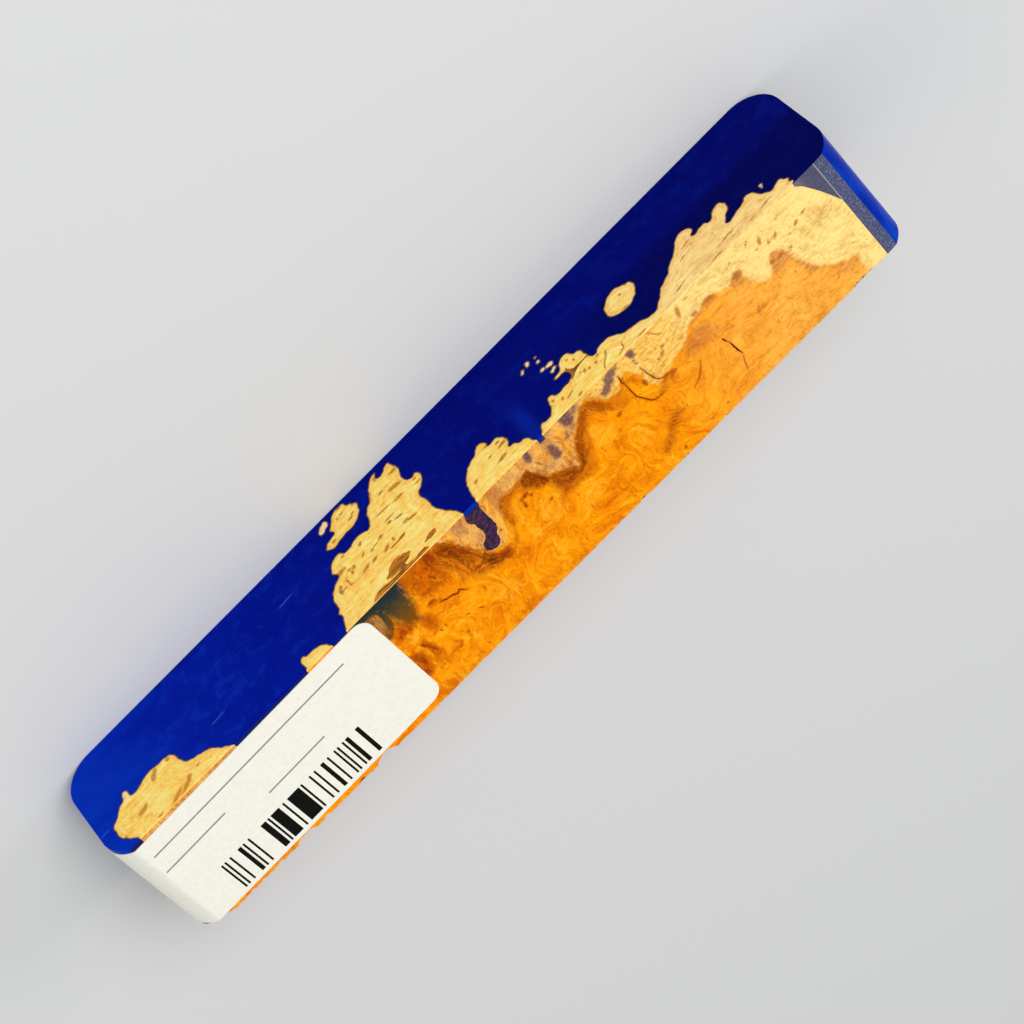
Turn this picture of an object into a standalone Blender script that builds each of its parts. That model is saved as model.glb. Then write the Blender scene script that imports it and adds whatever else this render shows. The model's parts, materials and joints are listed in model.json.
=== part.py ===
"""A hybrid pen blank: a square bar cast from a piece of mallee burl and blue resin, with a paper label.

X runs along the bar. Y runs from its polished front, at -Y, to its sawn back. Z runs up from the face
that it lies on, and the origin is in the middle of that face. Sizes are in metres, and the outlines
below are lists of millimetres.
"""

from math import asin, cos, pi, radians, sin, sqrt

import bmesh
import bpy
from mathutils import Matrix, Vector

MM = 0.001

# The bar as cast: its mould has four round corners, seen from the front
LENGTH = 127.0 * MM
DEPTH = 19.5 * MM
HEIGHT = 19.5 * MM
CORNER_RADIUS = 5.3 * MM
PLANED = 0.8 * MM
GAP = 0.3 * MM
CLEARANCE_SIDES = 8

FRONT = -DEPTH / 2
BACK = DEPTH / 2
END = LENGTH / 2
PAST = 2.0 * MM

# The burl between its two cut ends, and how far its grown face lies behind the front
BURL_START = -59.5 * MM
BURL_END = 61.5 * MM
TOP_EDGE_BEHIND = [
    (-59.5, 7.7), (-58.5, 6.2), (-57.5, 3.2), (-56.5, 1.6), (-50, 2.5), (-32, 3.0), (-20, 3.5), (-11.5, 4.8),
    (-6, 4.0), (1.6, 7.8), (8, 4.0), (20, 3.0), (24, 4.5), (36, 5.5), (50, 3.0), (61.5, 3.5),
]
FOOT_BEHIND = [
    (-59.5, 11.5), (-45, 12.5), (-30, 10.5), (-15, 13.0), (-2, 11.5), (6, 6.0), (12, 4.5), (18, 6.5),
    (26, 11.5), (40, 13.0), (52, 11.0), (61.5, 12.5),
]
LUMP_HEIGHT = 0.7 * MM
LUMP_LENGTH = 8.5 * MM
GROWN_FACE_CELLS = (60, 9)

# Where the burl reaches the front: each lobe's outline as (along, up). It starts and ends above the bar
LONG_LOBE = [
    (-56.7, 21.0), (-56.3, 19.0), (-56.2, 17.9), (-55.4, 17.0), (-54.6, 17.2), (-53.7, 17.5), (-53.0, 17.0),
    (-52.2, 15.9), (-51.4, 14.8), (-50.3, 14.9), (-48.4, 15.7), (-47.0, 15.9), (-47.6, 14.8), (-48.6, 13.8),
    (-48.7, 12.5), (-48.2, 11.7), (-47.4, 11.8), (-46.7, 12.3), (-45.8, 13.1), (-45.0, 12.5), (-43.7, 12.4),
    (-43.5, 11.4), (-42.9, 10.6), (-41.8, 10.6), (-40.5, 11.4), (-39.2, 12.9), (-37.2, 14.8), (-35.1, 15.8),
    (-34.1, 17.0), (-33.0, 18.0), (-31.8, 18.0), (-30.6, 17.3), (-29.0, 16.9), (-27.5, 16.2), (-25.8, 15.0),
    (-24.6, 15.1), (-23.5, 15.5), (-22.9, 14.2), (-22.6, 12.7), (-21.5, 12.0), (-20.9, 11.3), (-19.8, 11.7),
    (-19.1, 13.0), (-17.9, 13.5), (-18.8, 14.0), (-19.4, 15.2), (-17.9, 15.9), (-16.5, 15.9), (-15.7, 15.1),
    (-14.9, 16.6), (-14.0, 18.1), (-12.6, 17.9), (-12.0, 18.6), (-11.8, 21.0),
]
MIDDLE_LOBE = [
    (-10.7, 21.0), (-10.6, 18.9), (-9.9, 17.4), (-8.6, 16.7), (-7.7, 16.3), (-8.2, 14.7), (-7.5, 13.5),
    (-6.2, 13.4), (-5.8, 12.1), (-5.1, 11.7), (-4.0, 12.6), (-2.9, 13.3), (-1.6, 14.2), (-0.6, 16.2),
    (-0.2, 18.0), (-0.1, 21.0),
]
BROAD_LOBE = [
    (2.0, 21.0), (2.2, 19.0), (2.9, 17.1), (4.0, 14.6), (4.0, 12.4), (4.4, 10.7), (3.3, 9.6), (2.5, 7.7),
    (3.2, 6.6), (4.2, 6.6), (4.3, 5.0), (4.0, 3.2), (4.6, 1.4), (5.6, 1.8), (6.7, 2.1), (7.0, 0.9),
    (8.1, 1.3), (9.4, 3.4), (10.7, 5.3), (11.6, 7.7), (12.8, 8.1), (14.2, 7.8), (15.7, 8.2), (16.9, 7.4),
    (18.3, 7.8), (19.3, 9.2), (19.1, 10.8), (20.2, 11.5), (21.3, 12.9), (21.9, 15.0), (22.5, 17.7),
    (22.6, 21.0),
]
SMALL_LOBE = [
    (25.2, 21.0), (25.5, 19.0), (26.6, 17.4), (28.1, 17.0), (29.5, 16.9), (29.8, 19.0), (29.8, 21.0),
]
END_LOBE = [
    (41.5, 21.0), (42.9, 19.3), (44.4, 17.8), (46.1, 16.2), (47.9, 15.6), (49.2, 14.4), (49.3, 13.0),
    (50.1, 11.6), (51.6, 11.5), (53.5, 11.2), (55.3, 12.0), (56.9, 12.2), (57.0, 11.0), (57.6, 10.4),
    (58.2, 11.5), (59.8, 12.9), (61.1, 13.9), (61.4, 15.8), (60.9, 17.3), (59.6, 19.0), (58.6, 21.0),
]
# Knobs of the burl that reach the front on their own
OVAL_KNOB = [
    (-33.4, 11.0), (-33.1, 12.3), (-32.1, 13.3), (-30.9, 13.8), (-29.2, 13.2), (-28.4, 12.1), (-28.7, 10.9),
    (-29.6, 9.8), (-31.0, 9.3), (-32.6, 9.6),
]
LOW_KNOB = [
    (11.3, 4.0), (12.4, 5.4), (14.3, 5.7), (16.2, 6.0), (17.6, 5.5), (17.1, 4.4), (15.8, 3.7), (15.4, 2.4),
    (14.3, 1.0), (12.9, 0.9), (12.1, 2.1),
]
TINY_KNOB = [(15.6, 0.9), (15.7, 2.0), (16.9, 2.5), (17.1, 1.5), (16.3, 0.7)]
LOBES = {
    "long_lobe": LONG_LOBE,
    "middle_lobe": MIDDLE_LOBE,
    "broad_lobe": BROAD_LOBE,
    "small_lobe": SMALL_LOBE,
    "end_lobe": END_LOBE,
}
KNOBS = {"oval_knob": OVAL_KNOB, "low_knob": LOW_KNOB, "tiny_knob": TINY_KNOB}
KNOB_SPREAD = 1.35

# Bites out of the sawn top edge at the back, as (middle along the bar, length, depth from the back)
BITES = [
    (30.3, 2.6, 0.9), (41.4, 1.8, 0.6), (45.4, 4.6, 0.55),
    (49.4, 3.6, 0.3), (52.5, 1.6, 0.6), (60.4, 5.0, 0.8),
]
BITE_DROP = 3.0 * MM

# The paper label lies on the top and wraps over the end at +X
LABEL_LENGTH = 57.0 * MM
LABEL_WIDTH = 18.0 * MM
LABEL_START = 20.0 * MM
LABEL_MIDDLE = -0.35 * MM
LABEL_TURN = radians(0.8)
LABEL_THICKNESS = 0.15 * MM
LABEL_CORNER = 2.0 * MM
LABEL_FOLD_STEP = 0.8 * MM


def clear_scene():
    """Removes what a new file starts with."""
    for obj in list(bpy.data.objects):
        bpy.data.objects.remove(obj, do_unlink=True)


def new_collection(name):
    """A collection in the scene."""
    collection = bpy.data.collections.new(name)
    bpy.context.scene.collection.children.link(collection)
    return collection


def add_object(name, mesh, collection):
    """Links a new object that holds the mesh."""
    obj = bpy.data.objects.new(name, mesh)
    collection.objects.link(obj)
    return obj


def as_cutter(obj):
    """Marks an object as a helper that shapes others."""
    obj.hide_render = True
    obj.display_type = "WIRE"
    return obj


def finish_material(obj, name, colour, roughness):
    """Gives the object a material of its own."""
    material = bpy.data.materials.new(name)
    material.use_nodes = True
    shader = material.node_tree.nodes["Principled BSDF"]
    shader.inputs["Base Color"].default_value = (*colour, 1.0)
    shader.inputs["Roughness"].default_value = roughness
    shader.inputs["Metallic"].default_value = 0.0
    obj.data.materials.clear()
    obj.data.materials.append(material)


def boolean(obj, other, operation, solver="EXACT"):
    """Joins, trims or cuts one object by another."""
    modifier = obj.modifiers.new(f"{operation.lower()} {other.name}", "BOOLEAN")
    modifier.operation = operation
    modifier.solver = solver
    modifier.object = other


def evaluated_mesh(obj):
    """The object's mesh as its modifiers leave it, with its place applied and its seams welded."""
    bpy.context.view_layer.update()
    graph = bpy.context.evaluated_depsgraph_get()
    mesh = bpy.data.meshes.new_from_object(obj.evaluated_get(graph))
    mesh.transform(obj.matrix_world)
    bm = bmesh.new()
    bm.from_mesh(mesh)
    bmesh.ops.remove_doubles(bm, verts=bm.verts, dist=0.001 * MM)
    bmesh.ops.recalc_face_normals(bm, faces=bm.faces)
    bm.to_mesh(mesh)
    bm.free()
    return mesh


def between(knots, x):
    """The value at x on a smooth line through (x, value) knots, all in millimetres."""
    if x <= knots[0][0]:
        return knots[0][1]
    for (x0, value0), (x1, value1) in zip(knots, knots[1:]):
        if x <= x1:
            t = (x - x0) / (x1 - x0)
            return value0 + (value1 - value0) * t * t * (3 - 2 * t)
    return knots[-1][1]


def corner_arc(centre_x, centre_z, start, end, steps=8):
    """Points along one round corner of the bar's outline, from one angle to another in radians."""
    angles = [start + (end - start) * i / steps for i in range(steps + 1)]
    return [(centre_x + CORNER_RADIUS * cos(a), centre_z + CORNER_RADIUS * sin(a)) for a in angles]


def bar_outline():
    """The bar seen from the front: four round corners, and a top planed below where two of them would end."""
    inner = END - CORNER_RADIUS
    top_centre = HEIGHT + PLANED - CORNER_RADIUS
    top_angle = asin((HEIGHT - top_centre) / CORNER_RADIUS)
    points = corner_arc(inner, CORNER_RADIUS, -pi / 2, 0)
    points += corner_arc(inner, top_centre, 0, top_angle)
    points += corner_arc(-inner, top_centre, pi - top_angle, pi)
    points += corner_arc(-inner, CORNER_RADIUS, pi, 3 * pi / 2)
    return points


def flat_outline(name, points, smooth, front, back, collection):
    """A flat outline in the XZ plane, extruded from front to back, made a closed mesh object."""
    curve = bpy.data.curves.new(name, "CURVE")
    curve.dimensions = "2D"
    curve.fill_mode = "BOTH"
    curve.extrude = (back - front) / 2
    curve.resolution_u = 3
    if smooth:
        spline = curve.splines.new("BEZIER")
        spline.bezier_points.add(len(points) - 1)
        for knot, (x, z) in zip(spline.bezier_points, points):
            knot.co = (x, z, 0)
            knot.handle_left_type = "AUTO"
            knot.handle_right_type = "AUTO"
    else:
        spline = curve.splines.new("POLY")
        spline.points.add(len(points) - 1)
        for knot, (x, z) in zip(spline.points, points):
            knot.co = (x, z, 0, 1)
    spline.use_cyclic_u = True
    drawn = add_object(f"{name}_outline", curve, collection)
    drawn.rotation_euler.x = pi / 2
    drawn.location.y = (front + back) / 2
    solid = add_object(name, evaluated_mesh(drawn), collection)
    bpy.data.objects.remove(drawn, do_unlink=True)
    return solid


def grown_face(x, z):
    """How far along Y the burl's grown face lies at this place, in metres: a slope with low lumps on it."""
    share = min(max(z / HEIGHT, 0), 1)
    along = x / MM
    behind = between(TOP_EDGE_BEHIND, along) * share + between(FOOT_BEHIND, along) * (1 - share)
    lumps = sin(2 * pi * x / LUMP_LENGTH + 1.3 * sin(300 * z))
    lumps *= sin(2 * pi * (z + 0.4 * x) / (0.9 * LUMP_LENGTH))
    fade = sin(pi * share)
    return FRONT + behind * MM + LUMP_HEIGHT * lumps * fade


def burl_block(collection):
    """The burl behind its lobes: a block with the grown face at its front, which the bar's outline trims."""
    bm = bmesh.new()
    columns, rows = GROWN_FACE_CELLS
    bmesh.ops.create_grid(bm, x_segments=columns, y_segments=rows, size=0.5)
    for vertex in bm.verts:
        x = BURL_START + (BURL_END - BURL_START) * (vertex.co.x + 0.5)
        z = -PAST + (HEIGHT + 2 * PAST) * (vertex.co.y + 0.5)
        vertex.co = (x, grown_face(x, z), z)
    extruded = bmesh.ops.extrude_face_region(bm, geom=bm.faces[:])
    for item in extruded["geom"]:
        if isinstance(item, bmesh.types.BMVert):
            item.co.y = BACK + PAST
    bmesh.ops.triangulate(bm, faces=bm.faces)
    bmesh.ops.recalc_face_normals(bm, faces=bm.faces)
    mesh = bpy.data.meshes.new("burl_block")
    bm.to_mesh(mesh)
    bm.free()
    return add_object("burl_block", mesh, collection)


def spread_back(obj, factor):
    """Widens the back end of a knob, as a knob of burl is wider at its root."""
    corners = [vertex.co for vertex in obj.data.vertices]
    middle = sum(corners, Vector()) / len(corners)
    for vertex in obj.data.vertices:
        if vertex.co.y > middle.y:
            vertex.co.x = middle.x + (vertex.co.x - middle.x) * factor
            vertex.co.z = middle.z + (vertex.co.z - middle.z) * factor


def burl_forms(cutters):
    """The burl before it is trimmed: a block, and the lobes and knobs that reach from it past the front."""
    forms = [as_cutter(burl_block(cutters))]
    for name, points in {**LOBES, **KNOBS}.items():
        outline = [(x * MM, z * MM) for x, z in points]
        back = 0.0 if name in KNOBS else BACK - PAST
        form = as_cutter(flat_outline(name, outline, True, FRONT - PAST, back, cutters))
        if name in KNOBS:
            spread_back(form, KNOB_SPREAD)
        forms.append(form)
    return forms


def clearances(form, cutters):
    """Cutters for a form and the gap around it: the block pushed out, or a lobe shifted to each side."""
    if form.name == "burl_block":
        return [as_cutter(add_object("burl_block_clearance", pushed_out(form.data.copy(), GAP), cutters))]
    found = []
    for i in range(CLEARANCE_SIDES):
        angle = 2 * pi * i / CLEARANCE_SIDES
        cutter = as_cutter(add_object(f"{form.name}_clearance_{i + 1}", form.data, cutters))
        cutter.location = (GAP * cos(angle), -GAP, GAP * sin(angle))
        found.append(cutter)
    return found


def pushed_out(mesh, distance):
    """Moves a closed mesh's surface out by an even distance."""
    bm = bmesh.new()
    bm.from_mesh(mesh)
    bm.normal_update()
    moves = [(vertex, vertex.normal * distance * min(vertex.calc_shell_factor(), 1.6)) for vertex in bm.verts]
    for vertex, move in moves:
        vertex.co += move
    bm.to_mesh(mesh)
    bm.free()
    return mesh


def edge_bites(cutters):
    """The bites that the saw tore out of the top edge at the back."""
    bm = bmesh.new()
    for along, length, depth in BITES:
        size = Matrix.Diagonal((length * MM / 2, depth * MM, BITE_DROP, 1))
        place = Matrix.Translation((along * MM, BACK, HEIGHT))
        bmesh.ops.create_uvsphere(bm, u_segments=14, v_segments=8, radius=1, matrix=place @ size)
    mesh = bpy.data.meshes.new("edge_bites")
    bm.to_mesh(mesh)
    bm.free()
    return as_cutter(add_object("edge_bites", mesh, cutters))


def label_place(along, across):
    """Where a point of the flat label lies once stuck on: on the top, round the corner or down the end."""
    top_centre = HEIGHT + PLANED - CORNER_RADIUS
    corner_rise = HEIGHT - top_centre
    crease = END - CORNER_RADIUS + sqrt(CORNER_RADIUS**2 - corner_rise**2)
    start_angle = asin(corner_rise / CORNER_RADIUS)
    arc_length = CORNER_RADIUS * start_angle
    outside = CORNER_RADIUS + GAP
    if along <= crease:
        return Vector((along, across, HEIGHT + GAP))
    if along <= crease + arc_length:
        angle = start_angle - (along - crease) / CORNER_RADIUS
        rise = top_centre + outside * sin(angle)
        return Vector((END - CORNER_RADIUS + outside * cos(angle), across, min(rise, HEIGHT + GAP)))
    return Vector((END + GAP, across, top_centre - (along - crease - arc_length)))


def paper_label(collection):
    """The label: a rounded rectangle, folded over the end of the bar and given its thickness."""
    bm = bmesh.new()
    bmesh.ops.create_grid(bm, x_segments=1, y_segments=1, size=0.5)
    bmesh.ops.scale(bm, vec=(LABEL_LENGTH, LABEL_WIDTH, 1), verts=bm.verts)
    corners = bm.verts[:]
    bmesh.ops.bevel(bm, geom=corners, offset=LABEL_CORNER, segments=5, profile=0.5, affect="VERTICES")
    steps = int(LABEL_LENGTH / LABEL_FOLD_STEP)
    for i in range(1, steps):
        cut = Vector((LABEL_LENGTH * (i / steps - 0.5), 0, 0))
        geometry = bm.verts[:] + bm.edges[:] + bm.faces[:]
        bmesh.ops.bisect_plane(bm, geom=geometry, plane_co=cut, plane_no=(1, 0, 0))
    bmesh.ops.rotate(bm, cent=(0, 0, 0), matrix=Matrix.Rotation(LABEL_TURN, 3, "Z"), verts=bm.verts)
    for vertex in bm.verts:
        along = LABEL_START + LABEL_LENGTH / 2 + vertex.co.x
        vertex.co = label_place(along, LABEL_MIDDLE + vertex.co.y)
    bmesh.ops.triangulate(bm, faces=bm.faces)
    bmesh.ops.recalc_face_normals(bm, faces=bm.faces)
    mesh = bpy.data.meshes.new("label")
    bm.to_mesh(mesh)
    bm.free()
    label = add_object("label", mesh, collection)
    thickness = label.modifiers.new("paper thickness", "SOLIDIFY")
    thickness.thickness = LABEL_THICKNESS
    thickness.offset = 1.0
    return label


def build():
    """Makes the pen blank's three pieces."""
    clear_scene()
    blank = new_collection("mallee_burl_pen_blank")
    cutters = new_collection("cutters")
    outline = bar_outline()
    envelope = as_cutter(flat_outline("bar", outline, False, FRONT, BACK, cutters))
    bites = edge_bites(cutters)
    forms = burl_forms(cutters)

    burl = add_object("burl", forms[0].data.copy(), blank)
    for form in forms[1:]:
        boolean(burl, form, "UNION", "MANIFOLD")
    boolean(burl, envelope, "INTERSECT")
    boolean(burl, bites, "DIFFERENCE")
    finish_material(burl, "burl wood", (0.80, 0.42, 0.10), 0.45)

    resin = flat_outline("resin", outline, False, FRONT, BACK, blank)
    for form in forms:
        for cutter in clearances(form, cutters):
            boolean(resin, cutter, "DIFFERENCE", "MANIFOLD")
    boolean(resin, bites, "DIFFERENCE", "MANIFOLD")
    finish_material(resin, "blue resin", (0.0, 0.01, 0.24), 0.15)

    label = paper_label(blank)
    finish_material(label, "label paper", (0.90, 0.89, 0.84), 0.6)


build()
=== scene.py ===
import json
from math import asin, cos, exp, hypot, pi, radians, sin, sqrt

import bmesh
import bpy
from mathutils import Matrix, Vector, kdtree, noise

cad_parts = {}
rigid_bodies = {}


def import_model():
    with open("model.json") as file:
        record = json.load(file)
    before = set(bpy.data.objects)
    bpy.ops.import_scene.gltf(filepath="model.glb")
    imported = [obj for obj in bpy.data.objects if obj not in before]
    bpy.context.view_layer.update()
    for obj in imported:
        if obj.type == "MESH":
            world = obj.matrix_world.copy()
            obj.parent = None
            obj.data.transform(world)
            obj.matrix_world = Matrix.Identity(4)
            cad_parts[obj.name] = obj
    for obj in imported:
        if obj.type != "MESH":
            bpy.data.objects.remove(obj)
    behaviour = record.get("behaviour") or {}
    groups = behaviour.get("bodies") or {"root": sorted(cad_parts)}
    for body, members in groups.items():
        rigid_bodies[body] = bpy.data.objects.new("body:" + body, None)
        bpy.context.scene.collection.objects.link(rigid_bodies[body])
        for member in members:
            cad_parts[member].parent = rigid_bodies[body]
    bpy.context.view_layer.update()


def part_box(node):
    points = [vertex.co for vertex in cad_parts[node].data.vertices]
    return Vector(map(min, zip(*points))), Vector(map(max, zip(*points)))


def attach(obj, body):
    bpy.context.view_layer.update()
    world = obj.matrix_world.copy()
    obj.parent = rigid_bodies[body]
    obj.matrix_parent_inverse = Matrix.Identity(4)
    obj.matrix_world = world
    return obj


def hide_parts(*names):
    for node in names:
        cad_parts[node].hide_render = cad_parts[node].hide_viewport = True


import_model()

MM = 0.001

# The bar, in metres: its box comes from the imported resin
BAR_LOW, BAR_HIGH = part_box("resin")
END = BAR_HIGH.x
FRONT = BAR_LOW.y
BACK = BAR_HIGH.y
TOP = BAR_HIGH.z
CORNER_RADIUS = 5.3 * MM
PLANED = 0.8 * MM
SANDED_START = -59.5 * MM
SANDED_DROP = 0.131 * MM
SANDED_LENGTH = 1.7 * MM
RIM_BEVEL = 0.09 * MM
BURL_START = -59.5 * MM
BURL_END = 61.5 * MM
PAST = 2.0 * MM

# How far the burl's grown face lies behind the front, along the top and along the underside, in millimetres
TOP_EDGE_BEHIND = [
    (-59.5, 7.7), (-59.0, 6.4), (-58.5, 5.0), (-57.5, 2.7), (-56.5, 1.2), (-55.7, 0.4), (-54.8, -0.6),
    (-32, 0.4), (-20, 0.6), (-11.5, 0.7), (-6, 1.5), (1.6, 4.0), (8, 2.0), (20, 2.0), (24, 4.5), (36, 5.5),
    (50, 3.0), (61.5, 3.5),
]
FOOT_BEHIND = [
    (-59.5, 11.5), (-45, 12.5), (-30, 10.5), (-15, 13.0), (-2, 11.5), (6, 6.0), (12, 4.5), (18, 6.5),
    (26, 11.5), (40, 13.0), (52, 11.0), (61.5, 12.5),
]
GROWN_FACE_CELLS = (170, 30)
LUMP_HEIGHT = 1.3
# How far a grown edge strays from its drawn outline, and how many waves it has in a millimetre
EDGE_STRAY = 0.16 * MM
EDGE_WAVES = 1.7

# Where the burl reaches the front: each lobe's outline as (along, up), in millimetres
LONG_LOBE = [
    (-55.3, 21.0), (-55.5, 19.7), (-56.4, 19.1), (-56.0, 18.6), (-56.3, 18.2), (-55.8, 17.6), (-55.4, 17.0),
    (-54.6, 17.2), (-53.7, 17.5), (-53.0, 17.0), (-52.4, 16.2), (-52.0, 15.2), (-51.4, 14.6), (-50.6, 14.7),
    (-50.2, 15.1), (-48.4, 15.6), (-47.0, 15.9), (-47.6, 14.8), (-48.6, 13.8), (-48.7, 12.5), (-48.2, 11.7),
    (-47.4, 11.8), (-46.7, 12.3), (-45.8, 13.1), (-45.2, 12.6), (-44.6, 12.5), (-43.0, 12.7), (-43.6, 12.0),
    (-43.5, 11.3), (-42.9, 10.7), (-41.8, 10.6), (-40.8, 11.1), (-40.2, 12.0), (-39.2, 12.9), (-38.1, 13.6),
    (-37.2, 14.7), (-36.2, 15.2), (-35.1, 15.8), (-34.1, 17.0), (-33.0, 17.9), (-31.8, 18.0), (-30.6, 17.3),
    (-29.0, 16.9), (-28.0, 16.6), (-27.2, 15.8), (-25.8, 15.0), (-24.6, 15.1), (-23.5, 15.6), (-23.1, 15.0),
    (-22.9, 14.2), (-22.6, 12.7), (-21.9, 12.5), (-21.4, 11.6), (-20.7, 11.3), (-19.8, 11.7), (-19.3, 12.3),
    (-19.0, 13.0), (-17.9, 13.3), (-17.8, 13.8), (-18.8, 13.9), (-19.4, 14.0), (-19.5, 15.4), (-17.9, 15.9),
    (-16.6, 15.9), (-16.1, 15.1), (-15.6, 15.1), (-15.1, 16.1), (-14.9, 17.0), (-14.2, 18.0), (-13.4, 18.1),
    (-12.8, 17.8), (-12.3, 18.2), (-12.0, 19.0), (-11.8, 21.0),
]
MIDDLE_LOBE = [
    (-10.7, 21.0), (-10.6, 18.9), (-10.0, 17.5), (-9.2, 17.3), (-8.6, 16.7), (-7.9, 16.5), (-8.3, 15.8),
    (-8.4, 14.9), (-8.1, 14.1), (-7.5, 13.5), (-6.9, 13.5), (-6.2, 13.5), (-6.1, 12.5), (-5.8, 12.0),
    (-5.1, 11.8), (-4.4, 12.3), (-4.0, 12.8), (-2.9, 13.3), (-1.8, 14.1), (-1.0, 15.3), (-0.5, 16.6),
    (-0.2, 18.0), (-0.1, 21.0),
]
BROAD_LOBE = [
    (2.0, 21.0), (2.2, 19.0), (2.9, 17.1), (3.8, 15.4), (4.1, 14.0), (4.1, 12.6), (4.3, 11.2), (4.2, 10.3),
    (3.3, 9.6), (2.7, 8.7), (2.4, 7.6), (3.0, 6.7), (3.6, 7.0), (4.2, 6.7), (4.4, 5.6), (4.1, 4.4), (3.9, 3.2),
    (4.3, 2.3), (4.5, 1.4), (5.1, 1.5), (5.7, 1.9), (6.6, 2.3), (6.9, 1.7), (6.6, 1.1), (7.2, 1.0), (8.0, 1.5),
    (8.6, 2.3), (9.2, 3.3), (9.8, 4.5), (10.6, 5.1), (11.1, 6.0), (11.6, 7.6), (12.2, 8.2), (13.2, 7.8),
    (14.4, 7.8), (15.6, 8.2), (16.2, 8.2), (16.9, 7.5), (17.9, 7.5), (18.8, 8.2), (19.4, 9.5), (18.9, 10.4),
    (19.2, 10.9), (20.2, 11.5), (21.1, 12.5), (21.6, 13.9), (21.7, 15.3), (22.1, 16.0), (21.9, 16.7),
    (22.4, 17.9), (22.6, 21.0),
]
SMALL_LOBE = [
    (25.2, 21.0), (25.5, 19.0), (26.2, 17.9), (27.2, 17.4), (28.4, 17.3), (29.2, 16.9), (29.6, 17.1),
    (29.7, 19.0), (29.7, 21.0),
]
END_LOBE = [
    (41.5, 21.0), (42.9, 19.3), (44.4, 17.8), (45.4, 16.6), (46.4, 16.1), (47.9, 15.6), (48.9, 14.8),
    (49.2, 13.8), (49.5, 12.3), (50.1, 11.7), (51.6, 11.6), (53.5, 11.3), (54.5, 11.6), (55.6, 12.1),
    (56.9, 12.2), (57.0, 11.2), (57.4, 10.5), (57.9, 10.9), (58.4, 11.8), (59.3, 12.4), (60.3, 13.6),
    (61.1, 14.0), (61.4, 15.0), (61.3, 16.4), (60.6, 17.8), (59.5, 19.1), (58.6, 21.0),
]
OVAL_KNOB = [
    (-33.2, 10.2), (-33.4, 11.2), (-32.9, 12.5), (-32.1, 13.2), (-30.9, 13.7), (-29.2, 13.2), (-28.4, 12.3),
    (-28.5, 11.2), (-29.4, 10.0), (-30.4, 9.4), (-31.6, 9.4), (-32.5, 9.9),
]
LOW_KNOB = [
    (11.2, 2.6), (11.2, 3.3), (11.6, 4.3), (12.3, 5.1), (13.3, 5.5), (14.6, 5.6), (15.6, 5.8), (16.7, 6.0),
    (17.4, 5.7), (17.7, 5.1), (17.3, 4.5), (16.5, 4.1), (15.7, 3.9), (15.6, 3.6), (15.9, 3.2), (15.6, 2.6),
    (15.2, 2.1), (14.8, 1.4), (14.1, 0.9), (13.0, 0.8), (12.4, 1.0), (12.1, 1.7), (11.7, 1.9), (11.5, 2.3),
]
TINY_KNOB = [
    (15.6, 0.8), (15.5, 1.8), (16.1, 2.1), (16.9, 2.5), (17.2, 2.2), (17.0, 1.3), (16.3, 0.9), (16.0, 0.6),
]
LOBES = {
    "long_lobe": LONG_LOBE,
    "middle_lobe": MIDDLE_LOBE,
    "broad_lobe": BROAD_LOBE,
    "small_lobe": SMALL_LOBE,
    "end_lobe": END_LOBE,
}
KNOBS = {"oval_knob": OVAL_KNOB, "low_knob": LOW_KNOB, "tiny_knob": TINY_KNOB}
KNOB_SPREAD = 1.35

# Tips of thin spikes of the burl, as (along, up, radius), and how wide each end is beside that radius
SPIKES = [
    (-16.9, 7.4, 0.45), (-16.8, 7.75, 0.4), (-15.6, 8.15, 0.36), (-15.85, 7.85, 0.34), (-18.05, 8.7, 0.42),
    (-18.2, 7.65, 0.28), (-17.7, 10.5, 0.46), (-18.9, 10.75, 0.55), (-18.4, 10.65, 0.4), (-18.45, 12.1, 0.42),
    (-18.9, 11.8, 0.42), (-53.3, 15.3, 0.38), (-53.2, 15.8, 0.26),
]
SPIKE_LENGTH = 15 * MM
SPIKE_ROOT = 3.5
SPIKE_TIP = 0.62
SPIKE_STRAY = 0.3

# The resin's bay in the top of the burl, as (along, across)
BAY = [
    (-0.1, -11.0), (0.0, -9.2), (0.3, -7.8), (0.15, -6.5), (0.1, -5.2), (0.35, -4.3), (0.9, -3.6), (1.15, -2.6),
    (1.6, -2.1), (2.5, -2.0), (3.2, -2.5), (3.4, -3.4), (3.1, -4.0), (2.4, -4.4), (2.0, -5.3), (2.1, -6.5),
    (2.2, -7.3), (2.5, -8.0), (2.6, -8.7), (2.4, -9.3), (2.1, -9.9), (2.0, -11.0),
]
BAY_FLOOR = 12.0

# Cracks in the top, each as its points (along, across) and its width
CRACKS = [
    ([(-36.3, 6.9), (-36.8, 5.2), (-37.1, 4.3)], 0.12),
    ([(-37.2, 4.2), (-37.0, 2.9), (-36.9, 1.3)], 0.30),
    ([(-36.8, 1.2), (-36.6, 0.5), (-36.5, 0.0)], 0.20),
    ([(-29.4, -2.0), (-28.0, -2.3), (-27.3, -2.6), (-26.9, -3.1), (-26.6, -4.6), (-26.4, -6.2)], 0.19),
    ([
        (-26.5, -0.5), (-25.3, -0.6), (-24.7, -1.0), (-24.2, -2.0), (-23.6, -3.2), (-23.6, -5.5), (-23.5, -6.6),
    ], 0.20),
    ([(-23.5, -6.3), (-23.5, -7.0), (-23.6, -7.8)], 0.26),
    ([(-32.6, 0.0), (-32.0, 1.0), (-31.0, 2.0), (-29.8, 2.5)], 0.12),
    ([
        (8.5, -0.5), (9.0, -1.0), (9.3, -1.5), (9.8, -1.2), (10.5, -1.7), (11.2, -1.8), (11.8, -2.1),
        (12.2, -2.3),
    ], 0.34),
]
CRACK_STEPS = 4
CRACK_HALF_WIDTH = 0.5 * MM
CRACK_DEPTH = 3.0
CRACK_HALO = 0.5

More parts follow.
